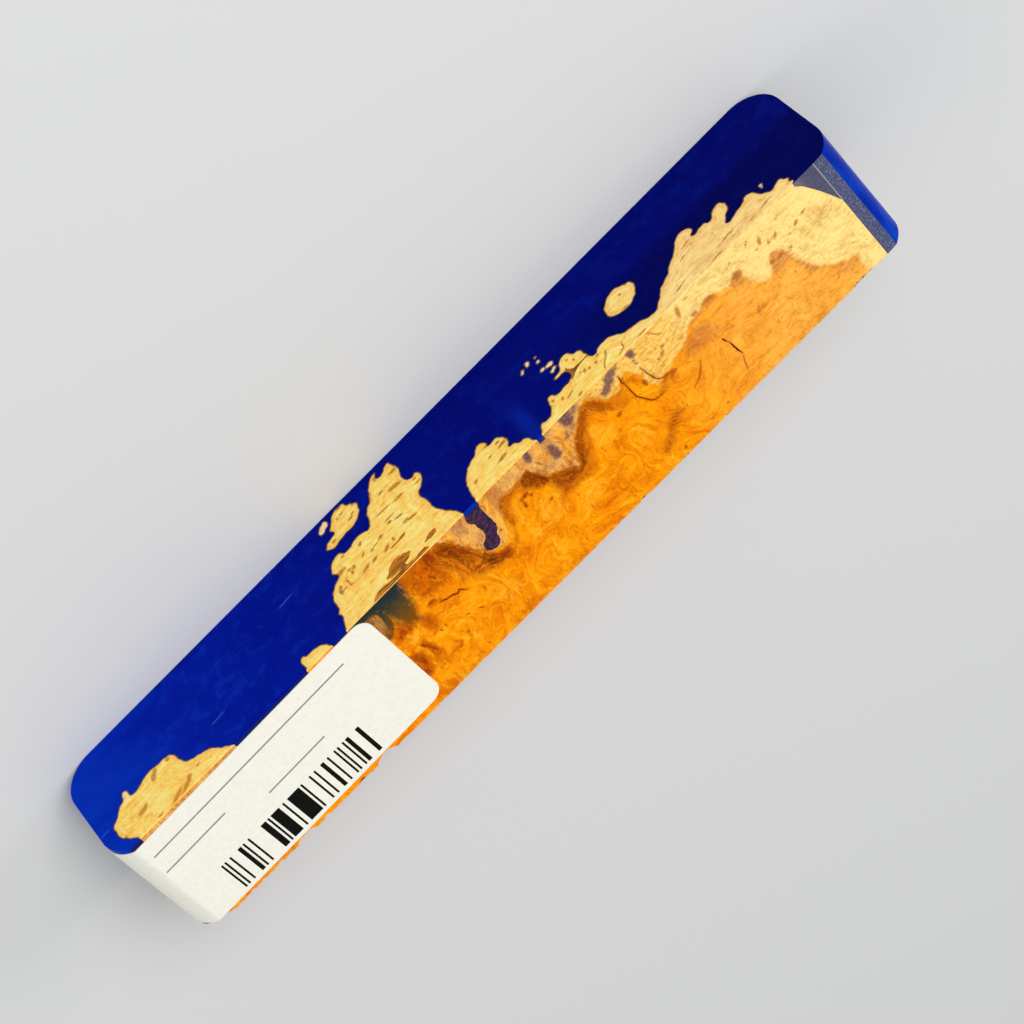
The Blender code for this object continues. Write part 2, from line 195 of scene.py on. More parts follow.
# Bites out of the top edge at the back, as (middle along the bar, length, depth from the back)
BITES = [
    (31.0, 3.6, 0.8), (41.8, 1.2, 0.25), (45.5, 3.4, 0.6), (50.4, 1.1, 0.3), (53.4, 0.8, 0.35),
    (55.3, 0.8, 0.25), (61.4, 6.2, 0.65),
]
BITE_SPREAD = 0.58
BITE_DROP = 3.0 * MM
BITE_RAISED = 0.4 * MM

# The saw's marks in the back, and the nibbles that it tore out of the top edge there, in millimetres
SAW_PITCH = 1.9
SAW_RIDGE = 0.035
SAW_ROUGHNESS = 0.05
NIBBLE = 0.45
NIBBLE_FROM = 0.12
NIBBLE_DROP = 0.7

# The paper label lies on the top and folds down over the end at +X
LABEL_LENGTH = 57.0 * MM
LABEL_WIDTH = 18.0 * MM
LABEL_START = 20.0 * MM
LABEL_MIDDLE = -0.08 * MM
LABEL_TURN = radians(0.8)
LABEL_THICKNESS = 0.1 * MM
LABEL_LIFT = 0.02 * MM
LABEL_CORNER = 2.0 * MM
LABEL_FOLD_STEP = 0.3 * MM
LABEL_CROSS_STEP = 1.5 * MM
LABEL_CREASE = 40
# Its print, in millimetres: ruled lines as (start, stop, place across), and bars, whose steps are dark above a share
RULED_LINES = ((6.0, 40.0, 2.9), (30.0, 40.5, 6.1), (14.5, 24.5, 9.0))
BARS_ALONG = (10.76, 37.76)
BARS_ACROSS = (11.8, 17.35)
BAR_STEP = 0.3
BAR_SHARE = 0.52

# Cream sapwood on the top: its outlines as (along, across), in millimetres
SAPWOOD = [
    (-64.0, -12.0), (-64.0, 12.0), (-56.2, 12.0), (-56.3, 8.0), (-56.6, 6.4), (-55.8, 5.6), (-54.5, 5.2),
    (-53.0, 4.2), (-52.0, 3.1), (-51.2, 1.5), (-50.6, 0.0), (-50.1, -1.5), (-49.8, -2.7), (-49.2, -3.8),
    (-48.4, -4.4), (-47.7, -4.1), (-47.3, -3.0), (-46.9, -2.0), (-46.2, -1.4), (-45.3, -1.7), (-44.7, -2.6),
    (-44.1, -3.6), (-43.8, -4.8), (-43.6, -5.9), (-43.0, -6.4), (-42.4, -5.8), (-41.5, -5.4), (-40.3, -5.6),
    (-39.5, -6.3), (-38.6, -6.7), (-37.6, -6.6), (-36.8, -5.9), (-35.8, -5.8), (-35.0, -5.8), (-34.0, -5.1),
    (-33.0, -4.1), (-31.7, -3.5), (-30.3, -3.3), (-29.5, -2.8), (-28.3, -2.5), (-27.3, -2.1), (-26.5, -2.2),
    (-26.0, -2.9), (-25.8, -5.0), (-25.3, -6.5), (-24.7, -7.3), (-23.6, -7.3), (-23.2, -6.5), (-22.7, -5.8),
    (-21.7, -6.0), (-20.7, -6.5), (-20.0, -7.3), (-19.3, -8.3), (-18.6, -8.7), (-17.8, -8.6), (-17.1, -8.2),
    (-16.6, -7.9), (-15.7, -6.8), (-14.5, -6.0), (-13.7, -4.8), (-13.0, -3.3), (-12.6, -2.0), (-12.3, -1.9),
    (-11.8, -2.7), (-10.7, -3.3), (-9.7, -4.0), (-8.8, -4.3), (-8.3, -5.2), (-7.7, -6.5), (-7.2, -7.6),
    (-6.3, -7.5), (-5.7, -7.2), (-4.0, -7.2), (-2.7, -7.2), (-1.9, -6.8), (-1.4, -6.0), (-1.1, -4.6),
    (-0.7, -3.4), (-0.2, -2.4), (0.6, -1.7), (1.2, -1.2), (1.9, -1.6), (2.7, -1.9), (3.2, -2.4), (3.3, -3.2),
    (3.9, -3.3), (4.4, -4.6), (5.0, -6.4), (6.0, -8.4), (7.0, -9.2), (8.0, -12.0),
]
SAP_BY_LABEL = [(18.7, -8.2), (18.6, -6.6), (18.7, -5.4), (19.2, -4.6), (20.0, -3.2), (22.5, -3.0), (22.5, -8.4)]
SAP_AT_END = [(40.5, -12.0), (42.0, -8.4), (58.0, -8.0), (64.0, -8.4), (64.0, -12.0)]

# Soft areas of colour, each as its strength, how far its edge fades and its outline
UMBER = [
    (1.0, 1.1, [
        (-17.5, -8.3), (-16.6, -7.7), (-15.7, -6.7), (-14.6, -5.9), (-13.8, -4.8), (-13.1, -3.4), (-12.6, -2.2),
        (-12.7, -1.2), (-13.4, -1.1), (-13.9, -2.7), (-14.5, -3.5), (-15.0, -4.7), (-15.9, -5.3), (-16.8, -6.2),
        (-17.4, -6.9), (-18.0, -7.6),
    ]),
    (0.85, 1.3, [
        (-13.2, -1.3), (-12.0, -0.5), (-10.4, -0.6), (-9.0, -0.8), (-8.4, -3.0), (-8.4, -4.4), (-9.9, -3.8),
        (-11.6, -2.7), (-12.4, -2.0),
    ]),
    (1.1, 1.1, [
        (-9.2, -3.7), (-8.2, -3.4), (-7.2, -4.0), (-6.2, -4.9), (-5.4, -5.8), (-5.6, -6.9), (-6.4, -7.5),
        (-7.2, -7.9), (-7.7, -6.8), (-8.2, -5.5), (-8.7, -4.5),
    ]),
    (0.6, 0.7, [
        (-5.9, -4.4), (-5.2, -4.4), (-4.5, -4.4), (-4.3, -3.0), (-3.6, -2.8), (-3.7, -4.6), (-4.4, -5.2),
        (-5.7, -5.1),
    ]),
    (0.6, 0.9, [
        (-1.3, -6.8), (-1.0, -4.6), (-0.9, -2.8), (-0.2, -1.4), (-0.8, -1.0), (-1.6, -2.6), (-1.8, -4.8),
        (-2.3, -6.2), (-3.6, -7.1), (-2.2, -7.3),
    ]),
    (1.0, 1.0, [
        (0.6, -0.9), (1.1, 0.2), (1.7, 1.1), (2.4, 0.6), (3.4, 0.3), (4.3, -0.7), (4.7, -2.6), (4.4, -3.7),
        (3.6, -2.8), (3.0, -1.7), (2.2, -1.1), (1.4, -1.1),
    ]),
    (0.75, 1.6, [
        (4.2, -3.4), (5.0, -2.6), (6.2, -3.6), (7.2, -5.0), (7.6, -7.0), (7.4, -9.9), (6.6, -9.9), (5.9, -8.4),
        (5.0, -6.4), (4.4, -4.7),
    ]),
    (1.0, 1.2, [
        (5.6, -5.9), (6.4, -6.2), (7.3, -6.0), (7.5, -7.0), (7.7, -8.2), (7.0, -9.2), (6.3, -8.5), (5.6, -7.4),
    ]),
    (0.8, 1.4, [(8.8, -7.0), (9.6, -7.2), (10.2, -8.4), (10.0, -9.9), (8.5, -9.9), (8.7, -8.4)]),
    (0.7, 1.0, [
        (-31.0, -2.4), (-30.0, -1.7), (-28.8, -1.1), (-27.6, -1.2), (-27.2, -1.8), (-28.2, -2.4), (-29.6, -2.2),
    ]),
    (0.55, 1.4, [(-25.4, -5.0), (-23.8, -4.8), (-23.3, -7.2), (-24.9, -7.5)]),
    (0.8, 1.2, [
        (-20.6, -4.2), (-19.4, -4.4), (-18.8, -5.6), (-18.8, -6.9), (-18.1, -8.2), (-18.9, -8.6), (-19.7, -7.6),
        (-20.5, -6.2),
    ]),
    (0.7, 1.3, [(-43.9, -4.6), (-42.9, -4.6), (-42.0, -5.5), (-42.5, -6.8), (-43.5, -6.8)]),
]
TAWNY = [
    (1.0, 2.2, [
        (-19.0, -7.6), (-16.6, -5.0), (-15.2, -2.6), (-13.9, -0.2), (-12.4, 0.6), (-10.4, 0.4), (-8.4, 0.0),
        (-7.8, -3.0), (-9.2, -4.4), (-11.8, -2.8), (-12.6, -2.0), (-13.7, -4.6), (-15.7, -6.6), (-17.0, -8.4),
    ]),
    (0.9, 1.2, [
        (-8.4, -3.2), (-7.0, -3.2), (-5.6, -4.8), (-4.4, -6.1), (-3.3, -6.0), (-2.6, -5.1), (-2.1, -3.9),
        (-1.6, -2.4), (-1.0, -2.4), (-1.1, -4.4), (-1.5, -6.0), (-2.4, -7.1), (-4.0, -7.3), (-6.2, -7.5),
    ]),
    (0.9, 0.8, [
        (-1.2, -1.8), (-0.8, -0.6), (0.0, 0.2), (0.9, 0.8), (2.4, 1.1), (2.4, 0.3), (1.0, 0.0), (0.1, -0.6),
        (-0.5, -1.3), (-0.7, -2.1),
    ]),
    (1.1, 2.6, [
        (2.2, 0.5), (4.2, 0.3), (6.4, -0.6), (7.4, -2.2), (8.3, -4.2), (9.6, -6.0), (11.2, -7.6), (12.8, -9.9),
        (6.8, -9.9), (5.6, -8.3), (4.9, -6.4), (4.2, -4.6), (3.4, -3.0), (2.7, -1.2),
    ]),
    (0.7, 1.0, [(-27.4, -0.3), (-26.0, -0.2), (-25.0, -0.7), (-25.9, -1.5), (-27.0, -1.8), (-27.9, -1.2)]),
    (1.0, 2.0, [
        (-26.8, 2.6), (-24.6, 3.2), (-22.6, 5.2), (-21.0, 6.6), (-21.6, 7.6), (-23.4, 6.6), (-25.2, 4.8),
        (-27.0, 4.0),
    ]),
    (0.8, 2.4, [(-37.5, -1.5), (-33.5, -0.8), (-31.0, -2.0), (-33.0, -4.0), (-36.0, -4.8)]),
    (0.7, 1.6, [(-23.3, -3.2), (-21.4, -3.2), (-20.4, -4.8), (-20.2, -6.2), (-21.6, -5.8), (-23.2, -6.2)]),
    (0.9, 1.2, [(-19.6, -5.2), (-17.9, -6.4), (-16.9, -7.6), (-17.1, -8.6), (-18.0, -8.8), (-19.4, -8.0)]),
    (1.1, 1.5, [(-50.6, -1.2), (-48.4, -1.0), (-46.6, -1.8), (-47.2, -3.4), (-48.0, -5.0), (-49.4, -4.0)]),
    (0.8, 1.3, [(-52.5, 3.6), (-51.0, 3.4), (-50.0, 1.6), (-49.6, -0.4), (-50.8, -0.8), (-51.4, 1.2)]),
    (0.6, 1.5, [(-56.8, 8.4), (-54.6, 7.6), (-52.6, 6.0), (-54.0, 5.0), (-56.6, 5.8)]),
    (0.8, 1.2, [(-44.4, -3.7), (-42.4, -3.9), (-41.4, -5.2), (-42.6, -6.8), (-43.8, -6.8)]),
    (0.9, 1.1, [(-39.8, -5.2), (-37.8, -5.5), (-34.2, -4.9), (-34.4, -6.3), (-36.6, -6.5), (-38.7, -7.2)]),
]
RUDDY = [
    (1.5, 1.2, [(16.4, 3.6), (16.5, 2.0), (17.0, 0.8), (17.5, -0.1), (17.9, 0.6), (17.5, 2.0), (17.4, 3.8)]),
    (0.6, 1.4, [(16.2, 6.6), (16.3, 3.4), (18.2, 3.0), (18.4, 6.0)]),
    (1.3, 1.4, [(18.2, 3.2), (18.2, 1.4), (19.2, 0.5), (20.6, 0.6), (20.6, 5.4), (18.9, 5.2)]),
    (0.55, 2.6, [(13.4, 10.5), (15.6, 8.0), (22.0, 7.0), (22.0, 12.0)]),
    (1.1, 2.2, [(14.2, 0.6), (15.1, 0.7), (15.8, -0.8), (15.6, -2.6), (13.9, -2.4), (13.9, -1.0)]),
    (1.2, 1.4, [(16.7, -2.2), (19.2, -2.0), (19.4, -3.4), (18.0, -4.6), (16.7, -3.8)]),
    (1.0, 1.0, [(12.0, -2.6), (13.7, -2.5), (13.8, -3.5), (12.1, -3.6)]),
    (0.7, 1.3, [(7.4, -1.6), (8.6, -1.6), (8.8, -3.8), (7.6, -3.8)]),
    (0.5, 2.4, [(-6.4, 8.0), (-3.0, 7.4), (1.6, 7.0), (2.0, 8.6), (-2.0, 9.6), (-6.0, 9.8)]),
    (0.5, 2.0, [(-16.4, 5.6), (-14.0, 2.6), (-13.4, 4.6), (-14.6, 8.4)]),
    (0.95, 2.6, [(8.4, -3.6), (12.4, -3.8), (14.2, -6.0), (14.6, -9.9), (9.0, -9.9)]),
    (0.5, 2.0, [(4.0, 7.6), (7.4, 8.6), (7.0, 9.9), (3.4, 9.9)]),
    (0.45, 2.0, [(9.2, 4.4), (11.0, 5.2), (13.2, 4.0), (13.0, 5.8), (10.2, 6.6)]),
    (1.0, 1.2, [(-3.3, -6.8), (-1.3, -5.8), (-1.0, -7.6), (-1.1, -9.9), (-3.1, -9.9)]),
]
GOLDEN = [
    (1.0, 1.8, [
        (-18.8, -1.0), (-17.0, -0.2), (-15.6, -1.0), (-15.4, -3.4), (-16.6, -5.2), (-18.2, -4.6), (-19.0, -2.6),
    ]),
    (0.9, 0.9, [
        (-3.2, 2.6), (-2.3, 1.8), (-1.9, -0.5), (-1.9, -2.6), (-2.3, -4.4), (-3.2, -5.7), (-4.8, -6.1),
        (-4.6, -5.5), (-3.4, -4.9), (-2.8, -3.2), (-2.7, -1.2), (-3.3, 1.0),
    ]),
    (0.7, 1.8, [(-8.0, 2.0), (-5.6, 2.4), (-4.4, 0.2), (-4.8, -2.2), (-6.6, -3.0), (-8.0, -1.0)]),
    (1.1, 0.8, [
        (-0.8, -2.8), (0.1, -1.2), (0.9, -1.5), (0.4, -3.0), (-0.1, -4.4), (-0.2, -6.4), (-0.3, -9.9),
        (-1.1, -9.9), (-1.0, -5.4),
    ]),
    (0.9, 1.2, [
        (-14.6, -6.2), (-13.5, -4.6), (-12.5, -2.8), (-11.6, -3.6), (-12.2, -5.6), (-12.4, -8.6), (-14.0, -9.4),
    ]),
    (0.9, 0.9, [(-10.5, -5.8), (-9.0, -6.2), (-9.1, -8.8), (-10.4, -9.9)]),
    (0.9, 0.8, [
        (3.9, -3.6), (4.3, -4.6), (5.0, -6.4), (5.8, -8.2), (6.8, -9.9), (5.6, -9.9), (4.6, -7.6), (3.8, -5.0),
    ]),
    (0.9, 1.2, [(15.6, -0.2), (18.4, -0.3), (18.8, -1.4), (17.2, -2.0), (15.9, -1.7)]),
    (0.7, 2.2, [(8.4, 1.8), (11.6, 0.8), (13.4, -0.6), (12.8, -1.4), (10.2, 0.0), (8.0, 0.4)]),
    (0.8, 2.4, [(-33.5, 8.6), (-27.5, 9.0), (-26.0, 6.4), (-29.0, 4.6), (-33.0, 5.6)]),
    (0.7, 2.0, [(-22.2, 3.0), (-20.6, 4.6), (-19.4, 3.0), (-20.2, 0.0), (-22.0, 0.2)]),
    (0.7, 2.0, [(-13.4, 4.2), (-9.2, 5.2), (-8.4, 2.8), (-10.6, 1.2), (-12.8, 1.6)]),
    (0.6, 2.0, [(2.4, 5.6), (6.2, 6.4), (7.4, 3.6), (5.0, 1.8), (2.6, 3.0)]),
]
STAINS = [
    (1.0, 0.9, [(-27.3, -8.3), (-26.7, -8.0), (-26.1, -8.4), (-26.0, -9.4), (-26.7, -9.7), (-27.3, -9.4)]),
    (0.7, 0.8, [(-26.8, -6.8), (-26.2, -6.8), (-26.0, -7.8), (-26.6, -8.2)]),
    (1.0, 0.9, [
        (-24.9, -9.5), (-24.3, -8.8), (-23.4, -8.2), (-22.6, -7.4), (-21.7, -6.9), (-20.6, -6.8), (-20.5, -7.8),
        (-21.7, -8.5), (-21.8, -9.2), (-23.2, -9.6),
    ]),
    (1.1, 1.0, [(-16.2, -8.0), (-15.2, -7.4), (-14.4, -8.0), (-14.3, -9.9), (-16.2, -9.9)]),
    (0.8, 1.1, [(-17.6, -9.0), (-16.6, -8.4), (-15.8, -8.4), (-15.8, -9.9), (-17.6, -9.9)]),
    (0.7, 0.8, [(-15.8, -6.9), (-14.8, -6.6), (-14.5, -7.5), (-15.4, -7.9)]),
    (0.7, 0.7, [(-14.4, -6.3), (-13.8, -6.1), (-13.2, -6.5), (-13.5, -7.1), (-13.8, -7.7), (-14.4, -7.6)]),
    (1.0, 0.9, [
        (-12.1, -5.2), (-11.3, -4.9), (-10.7, -5.4), (-10.7, -6.6), (-11.0, -8.1), (-11.8, -8.0), (-12.1, -6.6),
    ]),
    (0.6, 1.0, [(-11.0, -4.6), (-9.6, -4.4), (-9.2, -5.2), (-10.6, -5.7)]),
    (1.1, 0.8, [(-8.9, -8.2), (-8.3, -7.7), (-7.8, -8.4), (-8.2, -9.9), (-9.1, -9.9)]),
    (0.4, 1.4, [(-5.6, -8.0), (-4.2, -7.8), (-3.4, -8.6), (-4.2, -9.4), (-5.6, -9.2)]),
    (0.5, 1.4, [(3.0, -7.0), (4.0, -6.8), (5.0, -8.6), (4.8, -9.9), (3.0, -9.9)]),
    (0.55, 1.2, [(-12.8, -9.9), (-12.1, -8.0), (-10.8, -8.0), (-10.0, -9.9)]),
    (0.5, 1.0, [(2.2, -4.6), (3.2, -4.2), (3.3, -5.6), (2.4, -6.4)]),
]
SMOKE = [
    (1.0, 2.8, [
        (13.6, -11.5), (13.9, -8.6), (14.3, -6.2), (14.7, -4.2), (15.2, -2.6), (16.4, -2.6), (17.2, -4.0),
        (17.9, -5.4), (18.2, -6.6), (18.5, -8.0), (19.4, -8.3), (22.5, -8.6), (22.5, -11.5),
    ]),
    (0.5, 1.2, [(18.4, -8.2), (18.6, -5.6), (19.4, -4.4), (20.8, -4.4), (20.8, -8.6)]),
    (1.0, 0.8, [
        (17.9, -8.4), (17.8, -6.6), (18.0, -5.2), (18.7, -4.3), (19.5, -3.5), (20.1, -3.8), (19.8, -5.0),
        (19.0, -5.6), (18.8, -6.8), (18.8, -8.4),
    ]),
]

# Small marks in the top, each as (along, across, half length, half width, tilt in degrees)
FLECKS = [
    (-54.7, -5.3, 0.6, 0.26, 15), (-53.1, -4.9, 0.55, 0.3, 30), (-51.6, -4.3, 0.3, 0.2, 0),
    (-50.1, -5.8, 0.75, 0.24, 50), (-48.9, -5.7, 0.55, 0.22, 60), (-48.1, -7.0, 0.85, 0.3, 65),
    (-47.2, -6.3, 0.35, 0.2, 40), (-46.6, -8.2, 0.65, 0.2, 45), (-34.6, -8.3, 1.1, 0.38, 70),
    (-29.7, -5.3, 0.6, 0.34, 45), (-30.3, -6.1, 0.4, 0.28, 0), (-36.4, -8.9, 0.5, 0.2, 0),
    (-31.0, -7.9, 0.5, 0.16, -40), (-30.5, -8.5, 0.5, 0.16, -60), (-30.1, -9.2, 0.4, 0.2, -20),
    (-28.9, -5.0, 0.3, 0.25, 0), (-29.4, -6.6, 0.22, 0.2, 0), (-31.3, -6.2, 0.3, 0.2, 30),
    (-36.0, -6.1, 0.6, 0.35, 10), (-38.6, -6.2, 0.8, 0.4, 0), (-43.4, -5.6, 0.7, 0.6, 0),
    (-43.4, -7.9, 0.3, 0.2, 0), (-25.6, -3.9, 0.35, 0.7, 0), (6.6, -6.6, 0.8, 0.3, 0),
    (5.6, -5.6, 0.4, 1.0, 25), (9.0, -8.6, 0.45, 1.1, 15), (7.8, -8.0, 0.3, 0.8, 20),
    (10.6, -6.1, 0.2, 0.6, 20), (2.0, -0.2, 0.7, 0.5, 0), (3.4, -3.0, 0.3, 0.5, 0), (-4.9, -4.7, 0.6, 0.3, 15),
    (-4.1, -3.6, 0.25, 0.7, -10), (-5.6, -4.1, 0.3, 0.3, 0), (-20.3, -3.3, 0.2, 0.5, -40),
    (16.9, 2.4, 0.22, 0.9, 15), (17.6, 0.8, 0.2, 0.7, 25), (18.9, 2.6, 0.22, 1.0, -10),
    (14.55, 1.2, 0.14, 0.5, 25), (13.75, 1.1, 0.13, 0.5, -15), (12.0, 1.05, 0.25, 0.15, -20),
    (12.6, 2.0, 0.12, 0.25, 0), (10.8, 2.4, 0.4, 0.15, -10), (9.0, 3.2, 0.4, 0.18, -35),
    (12.4, 4.5, 0.3, 0.22, 0), (14.4, 5.4, 0.35, 0.14, 0), (13.0, -3.3, 0.6, 0.25, 10),
    (-9.0, -6.8, 0.2, 0.8, 25), (19.2, -4.8, 0.4, 0.45, 0), (10.5, -6.0, 0.22, 0.6, 25),
    (-7.0, -1.3, 0.4, 0.25, 0), (-20.7, -3.1, 0.6, 0.2, 40), (-16.4, 4.1, 0.2, 0.2, 0),
    (-31.6, 8.3, 0.3, 0.25, 0), (-23.8, 8.6, 0.4, 0.3, 0), (-42.4, 0.9, 0.2, 0.9, -25),
    (-50.6, -2.6, 0.4, 0.3, 0), (-49.0, -2.8, 0.6, 0.35, 20), (-47.6, -3.0, 0.35, 0.5, 0),
]

# Brown pockets in the front, drawn as (along, up), and smaller marks there
POCKETS = [
    (1.0, 0.3, [
        (8.0, 20.5), (8.0, 19.3), (8.5, 18.6), (9.2, 18.6), (10.2, 18.9), (11.3, 18.7), (11.8, 18.45),
        (13.0, 18.6), (14.6, 18.6), (15.6, 18.45), (16.4, 18.4), (17.2, 18.7), (17.7, 19.1), (17.9, 20.5),
    ]),
    (1.0, 0.25, [
        (10.1, 17.2), (10.4, 17.6), (11.0, 18.05), (11.8, 18.3), (13.0, 18.5), (14.2, 18.3), (14.9, 17.9),
        (14.2, 17.5), (13.8, 17.0), (13.3, 16.5), (12.6, 16.25), (11.8, 16.25), (10.9, 16.6),
    ]),
    (1.0, 0.2, [
        (5.8, 17.8), (6.3, 18.2), (7.2, 18.3), (8.1, 18.0), (7.6, 17.75), (7.1, 17.4), (6.5, 17.2), (6.1, 17.4),
    ]),
    (0.9, 0.2, [
        (8.7, 13.7), (9.3, 14.2), (10.3, 14.4), (11.2, 14.35), (12.4, 14.45), (11.4, 14.05), (10.4, 14.0),
        (9.4, 13.75),
    ]),
    (1.0, 0.25, [
        (-23.7, 15.1), (-22.5, 14.95), (-21.2, 15.0), (-20.4, 15.4), (-19.4, 16.1), (-19.2, 14.9),
        (-19.2, 14.0), (-19.9, 13.5), (-20.1, 14.2), (-20.6, 14.65), (-21.5, 14.7), (-22.8, 14.65),
        (-23.6, 14.6),
    ]),
]
FRONT_MARKS = [
    (7.1, 12.7, 0.95, 0.22, -5), (8.0, 12.3, 0.55, 0.2, 10), (10.65, 13.2, 0.22, 0.35, 0),
    (12.0, 13.5, 0.7, 0.25, 35), (11.7, 11.1, 0.42, 0.3, 30), (13.6, 11.8, 0.3, 0.3, 30),
    (12.8, 11.5, 0.5, 0.16, 0), (14.2, 13.45, 0.65, 0.25, 20), (15.6, 13.45, 0.7, 0.25, 25),
    (14.8, 11.1, 0.4, 0.22, 40), (8.2, 10.75, 0.8, 0.2, -10), (9.6, 10.25, 0.4, 0.25, -20),
    (9.3, 9.6, 0.9, 0.16, 0), (14.2, 9.1, 0.4, 0.25, 60), (16.9, 8.5, 0.35, 0.22, 10),
    (16.7, 11.6, 0.22, 0.4, 0), (17.3, 12.1, 0.2, 0.45, 0), (17.4, 11.3, 0.3, 0.2, 0),
    (18.4, 13.6, 0.25, 0.3, 0), (18.5, 12.7, 0.18, 0.5, 10), (19.2, 13.4, 0.4, 0.16, 0),
    (20.0, 13.3, 0.26, 0.65, 0), (19.7, 12.6, 0.24, 0.36, 20), (18.6, 10.5, 0.9, 0.4, 5),
    (4.2, 10.5, 0.35, 0.65, -20), (3.3, 8.5, 0.9, 0.15, -5), (3.5, 7.6, 0.32, 0.2, 20),
    (6.6, 8.0, 0.95, 0.22, 0), (8.9, 7.75, 1.5, 0.15, -3), (5.9, 5.85, 1.1, 0.34, -8),
    (4.9, 3.35, 0.7, 0.25, 0), (4.2, 2.7, 0.35, 0.28, 0), (9.2, 3.6, 0.55, 0.28, 55), (7.2, 1.9, 0.3, 0.45, 0),
    (7.9, 4.8, 0.5, 0.2, 20), (22.0, 15.4, 0.3, 0.7, -15), (12.8, 4.1, 0.6, 0.18, 15),
    (12.2, 3.6, 0.36, 0.18, 10), (13.3, 2.1, 0.4, 0.16, 10), (14.2, 2.35, 0.22, 0.22, 0),
    (16.4, 5.05, 0.36, 0.24, 10), (11.5, 2.2, 0.25, 0.4, 0), (13.3, 0.9, 0.6, 0.2, 0),
    (16.8, 1.4, 0.22, 0.35, 0), (-7.5, 15.1, 0.8, 0.3, 12), (-6.3, 17.1, 0.9, 0.3, 15),
    (-7.1, 14.3, 0.4, 0.24, 0), (-5.2, 15.3, 0.32, 0.2, 0), (-1.8, 16.8, 0.36, 0.24, 30),
    (-5.8, 13.2, 0.36, 0.22, 20), (-18.75, 19.15, 0.42, 0.26, 20), (-17.8, 17.8, 0.7, 0.2, 25),
    (-16.8, 17.3, 0.22, 0.4, -20), (-15.75, 16.3, 0.25, 0.28, 0), (-23.75, 16.15, 0.4, 0.2, 10),
    (-23.0, 16.95, 0.25, 0.3, 0), (-21.9, 16.8, 0.22, 0.28, 0), (-21.25, 16.5, 0.2, 0.4, -20),
    (-20.7, 16.2, 0.2, 0.26, 0), (-21.3, 13.4, 0.22, 0.3, 0), (-20.7, 12.5, 0.2, 0.22, 0),
    (-29.5, 19.35, 0.8, 0.2, 15), (-31.3, 10.8, 0.28, 0.22, 0), (-32.8, 9.9, 0.4, 0.4, 0),
    (-30.6, 13.4, 0.7, 0.2, -10), (-40.0, 14.5, 0.6, 0.14, 20), (-41.5, 13.0, 0.9, 0.14, 15),
    (-50.3, 15.0, 0.28, 0.28, 0), (-46.9, 12.2, 0.34, 0.18, 40), (-46.0, 17.6, 1.3, 0.16, 3),
    (-52.0, 18.4, 1.1, 0.15, 6), (-37.0, 18.2, 1.2, 0.15, 14), (-43.2, 19.0, 1.4, 0.14, 0),
    (50.3, 18.4, 1.2, 0.34, 35), (49.6, 17.6, 0.45, 0.3, 0), (52.4, 18.8, 1.2, 0.34, 30),
    (47.8, 17.3, 0.45, 0.18, 0), (57.0, 16.0, 0.8, 0.42, 10), (56.2, 15.6, 0.35, 0.22, 0),
    (53.2, 12.8, 0.42, 0.65, -30), (52.6, 12.0, 0.28, 0.42, 0), (50.5, 12.2, 0.3, 0.5, 0),
    (60.6, 17.5, 0.18, 0.5, 0), (55.4, 19.1, 0.55, 0.22, 0), (57.9, 11.6, 0.32, 0.32, 0),
    (-24.65, 16.95, 0.6, 0.17, 62), (-24.05, 17.8, 0.55, 0.17, 45), (-23.4, 18.65, 0.75, 0.16, 64),
    (-26.85, 18.1, 0.55, 0.14, 78), (-26.15, 18.95, 0.7, 0.14, 26),
]
BLEACHED = [
    (1.0, 0.4, [(-19.8, 6.8), (-19.8, 12.9), (-17.4, 12.9), (-17.2, 9.4), (-15.0, 8.9), (-15.0, 6.8)]),
    (1.0, 0.4, [(15.2, 0.2), (15.2, 2.3), (17.6, 2.9), (17.6, 0.2)]),
    (0.8, 0.6, [(57.0, 10.0), (56.8, 11.9), (58.5, 11.9), (58.4, 10.2)]),
    (1.0, 0.4, [(-53.9, 14.6), (-53.9, 16.3), (-52.8, 16.3), (-52.8, 14.6)]),
]

# Where the figure curls round itself, as (along, across, reach, strength)
EYES = [
    (-19.0, 1.0, 2.2, 2.2), (-12.0, 3.2, 1.8, -1.8), (-5.6, -0.6, 2.4, 2.4), (2.6, 5.0, 2.4, 1.8),
    (-6.3, 4.7, 0.6, 1.6), (-27.5, 6.0, 2.0, 1.4), (-40.0, 3.0, 3.0, 1.4), (10.0, 4.2, 2.2, -1.5),
    (12.6, -4.6, 1.8, 1.5), (-24.6, -4.6, 1.6, 2.0), (8.4, 7.4, 1.8, 1.2), (-33.0, 1.0, 2.2, -1.3),
    (-16.6, -4.2, 1.6, 1.6), (17.4, 3.0, 1.8, 2.2), (-46.0, 4.6, 2.4, 1.2),
]
MARK_REACH = 6.0

# How far behind the front or below the top a point still counts as on it, and where edge depth stops growing
FRONT_WITHIN = 0.2 * MM
TOP_WITHIN = 0.6 * MM
MOST_EDGE_DEPTH = 3.0
EDGE_STEP = 0.1 * MM

# Edges that turn by more degrees than this stay sharp
SHARPEST = 12

# The share of the top's light that falls on the front
FRONT_LIGHT = 0.845

# The height of the fine relief that each finish has, and how far the floor lies under the blank
FINE_BUMP = 0.02 * MM
FLOOR_DROP = 0.02 * MM

# The camera as it was fitted to the photo
LENS = 140.06
CAMERA_PLACE = (-0.0043295, -0.3271457, 0.4015523)
CAMERA_TURN = (-30.92166, -27.07593, 142.40580)

# Soft lights, as their name, place, size and power
SOFTBOXES = (
    ("key softbox", (-0.24, -0.50, 0.76), 0.55, 5.3),
    ("end softbox", (-0.80, -0.05, 0.45), 0.5, 2.4),
    ("label end softbox", (0.75, -0.10, 0.35), 0.5, 1.5),
)


def new_collection(name):
    """A collection in the scene."""
    collection = bpy.data.collections.new(name)
    bpy.context.scene.collection.children.link(collection)
    return collection


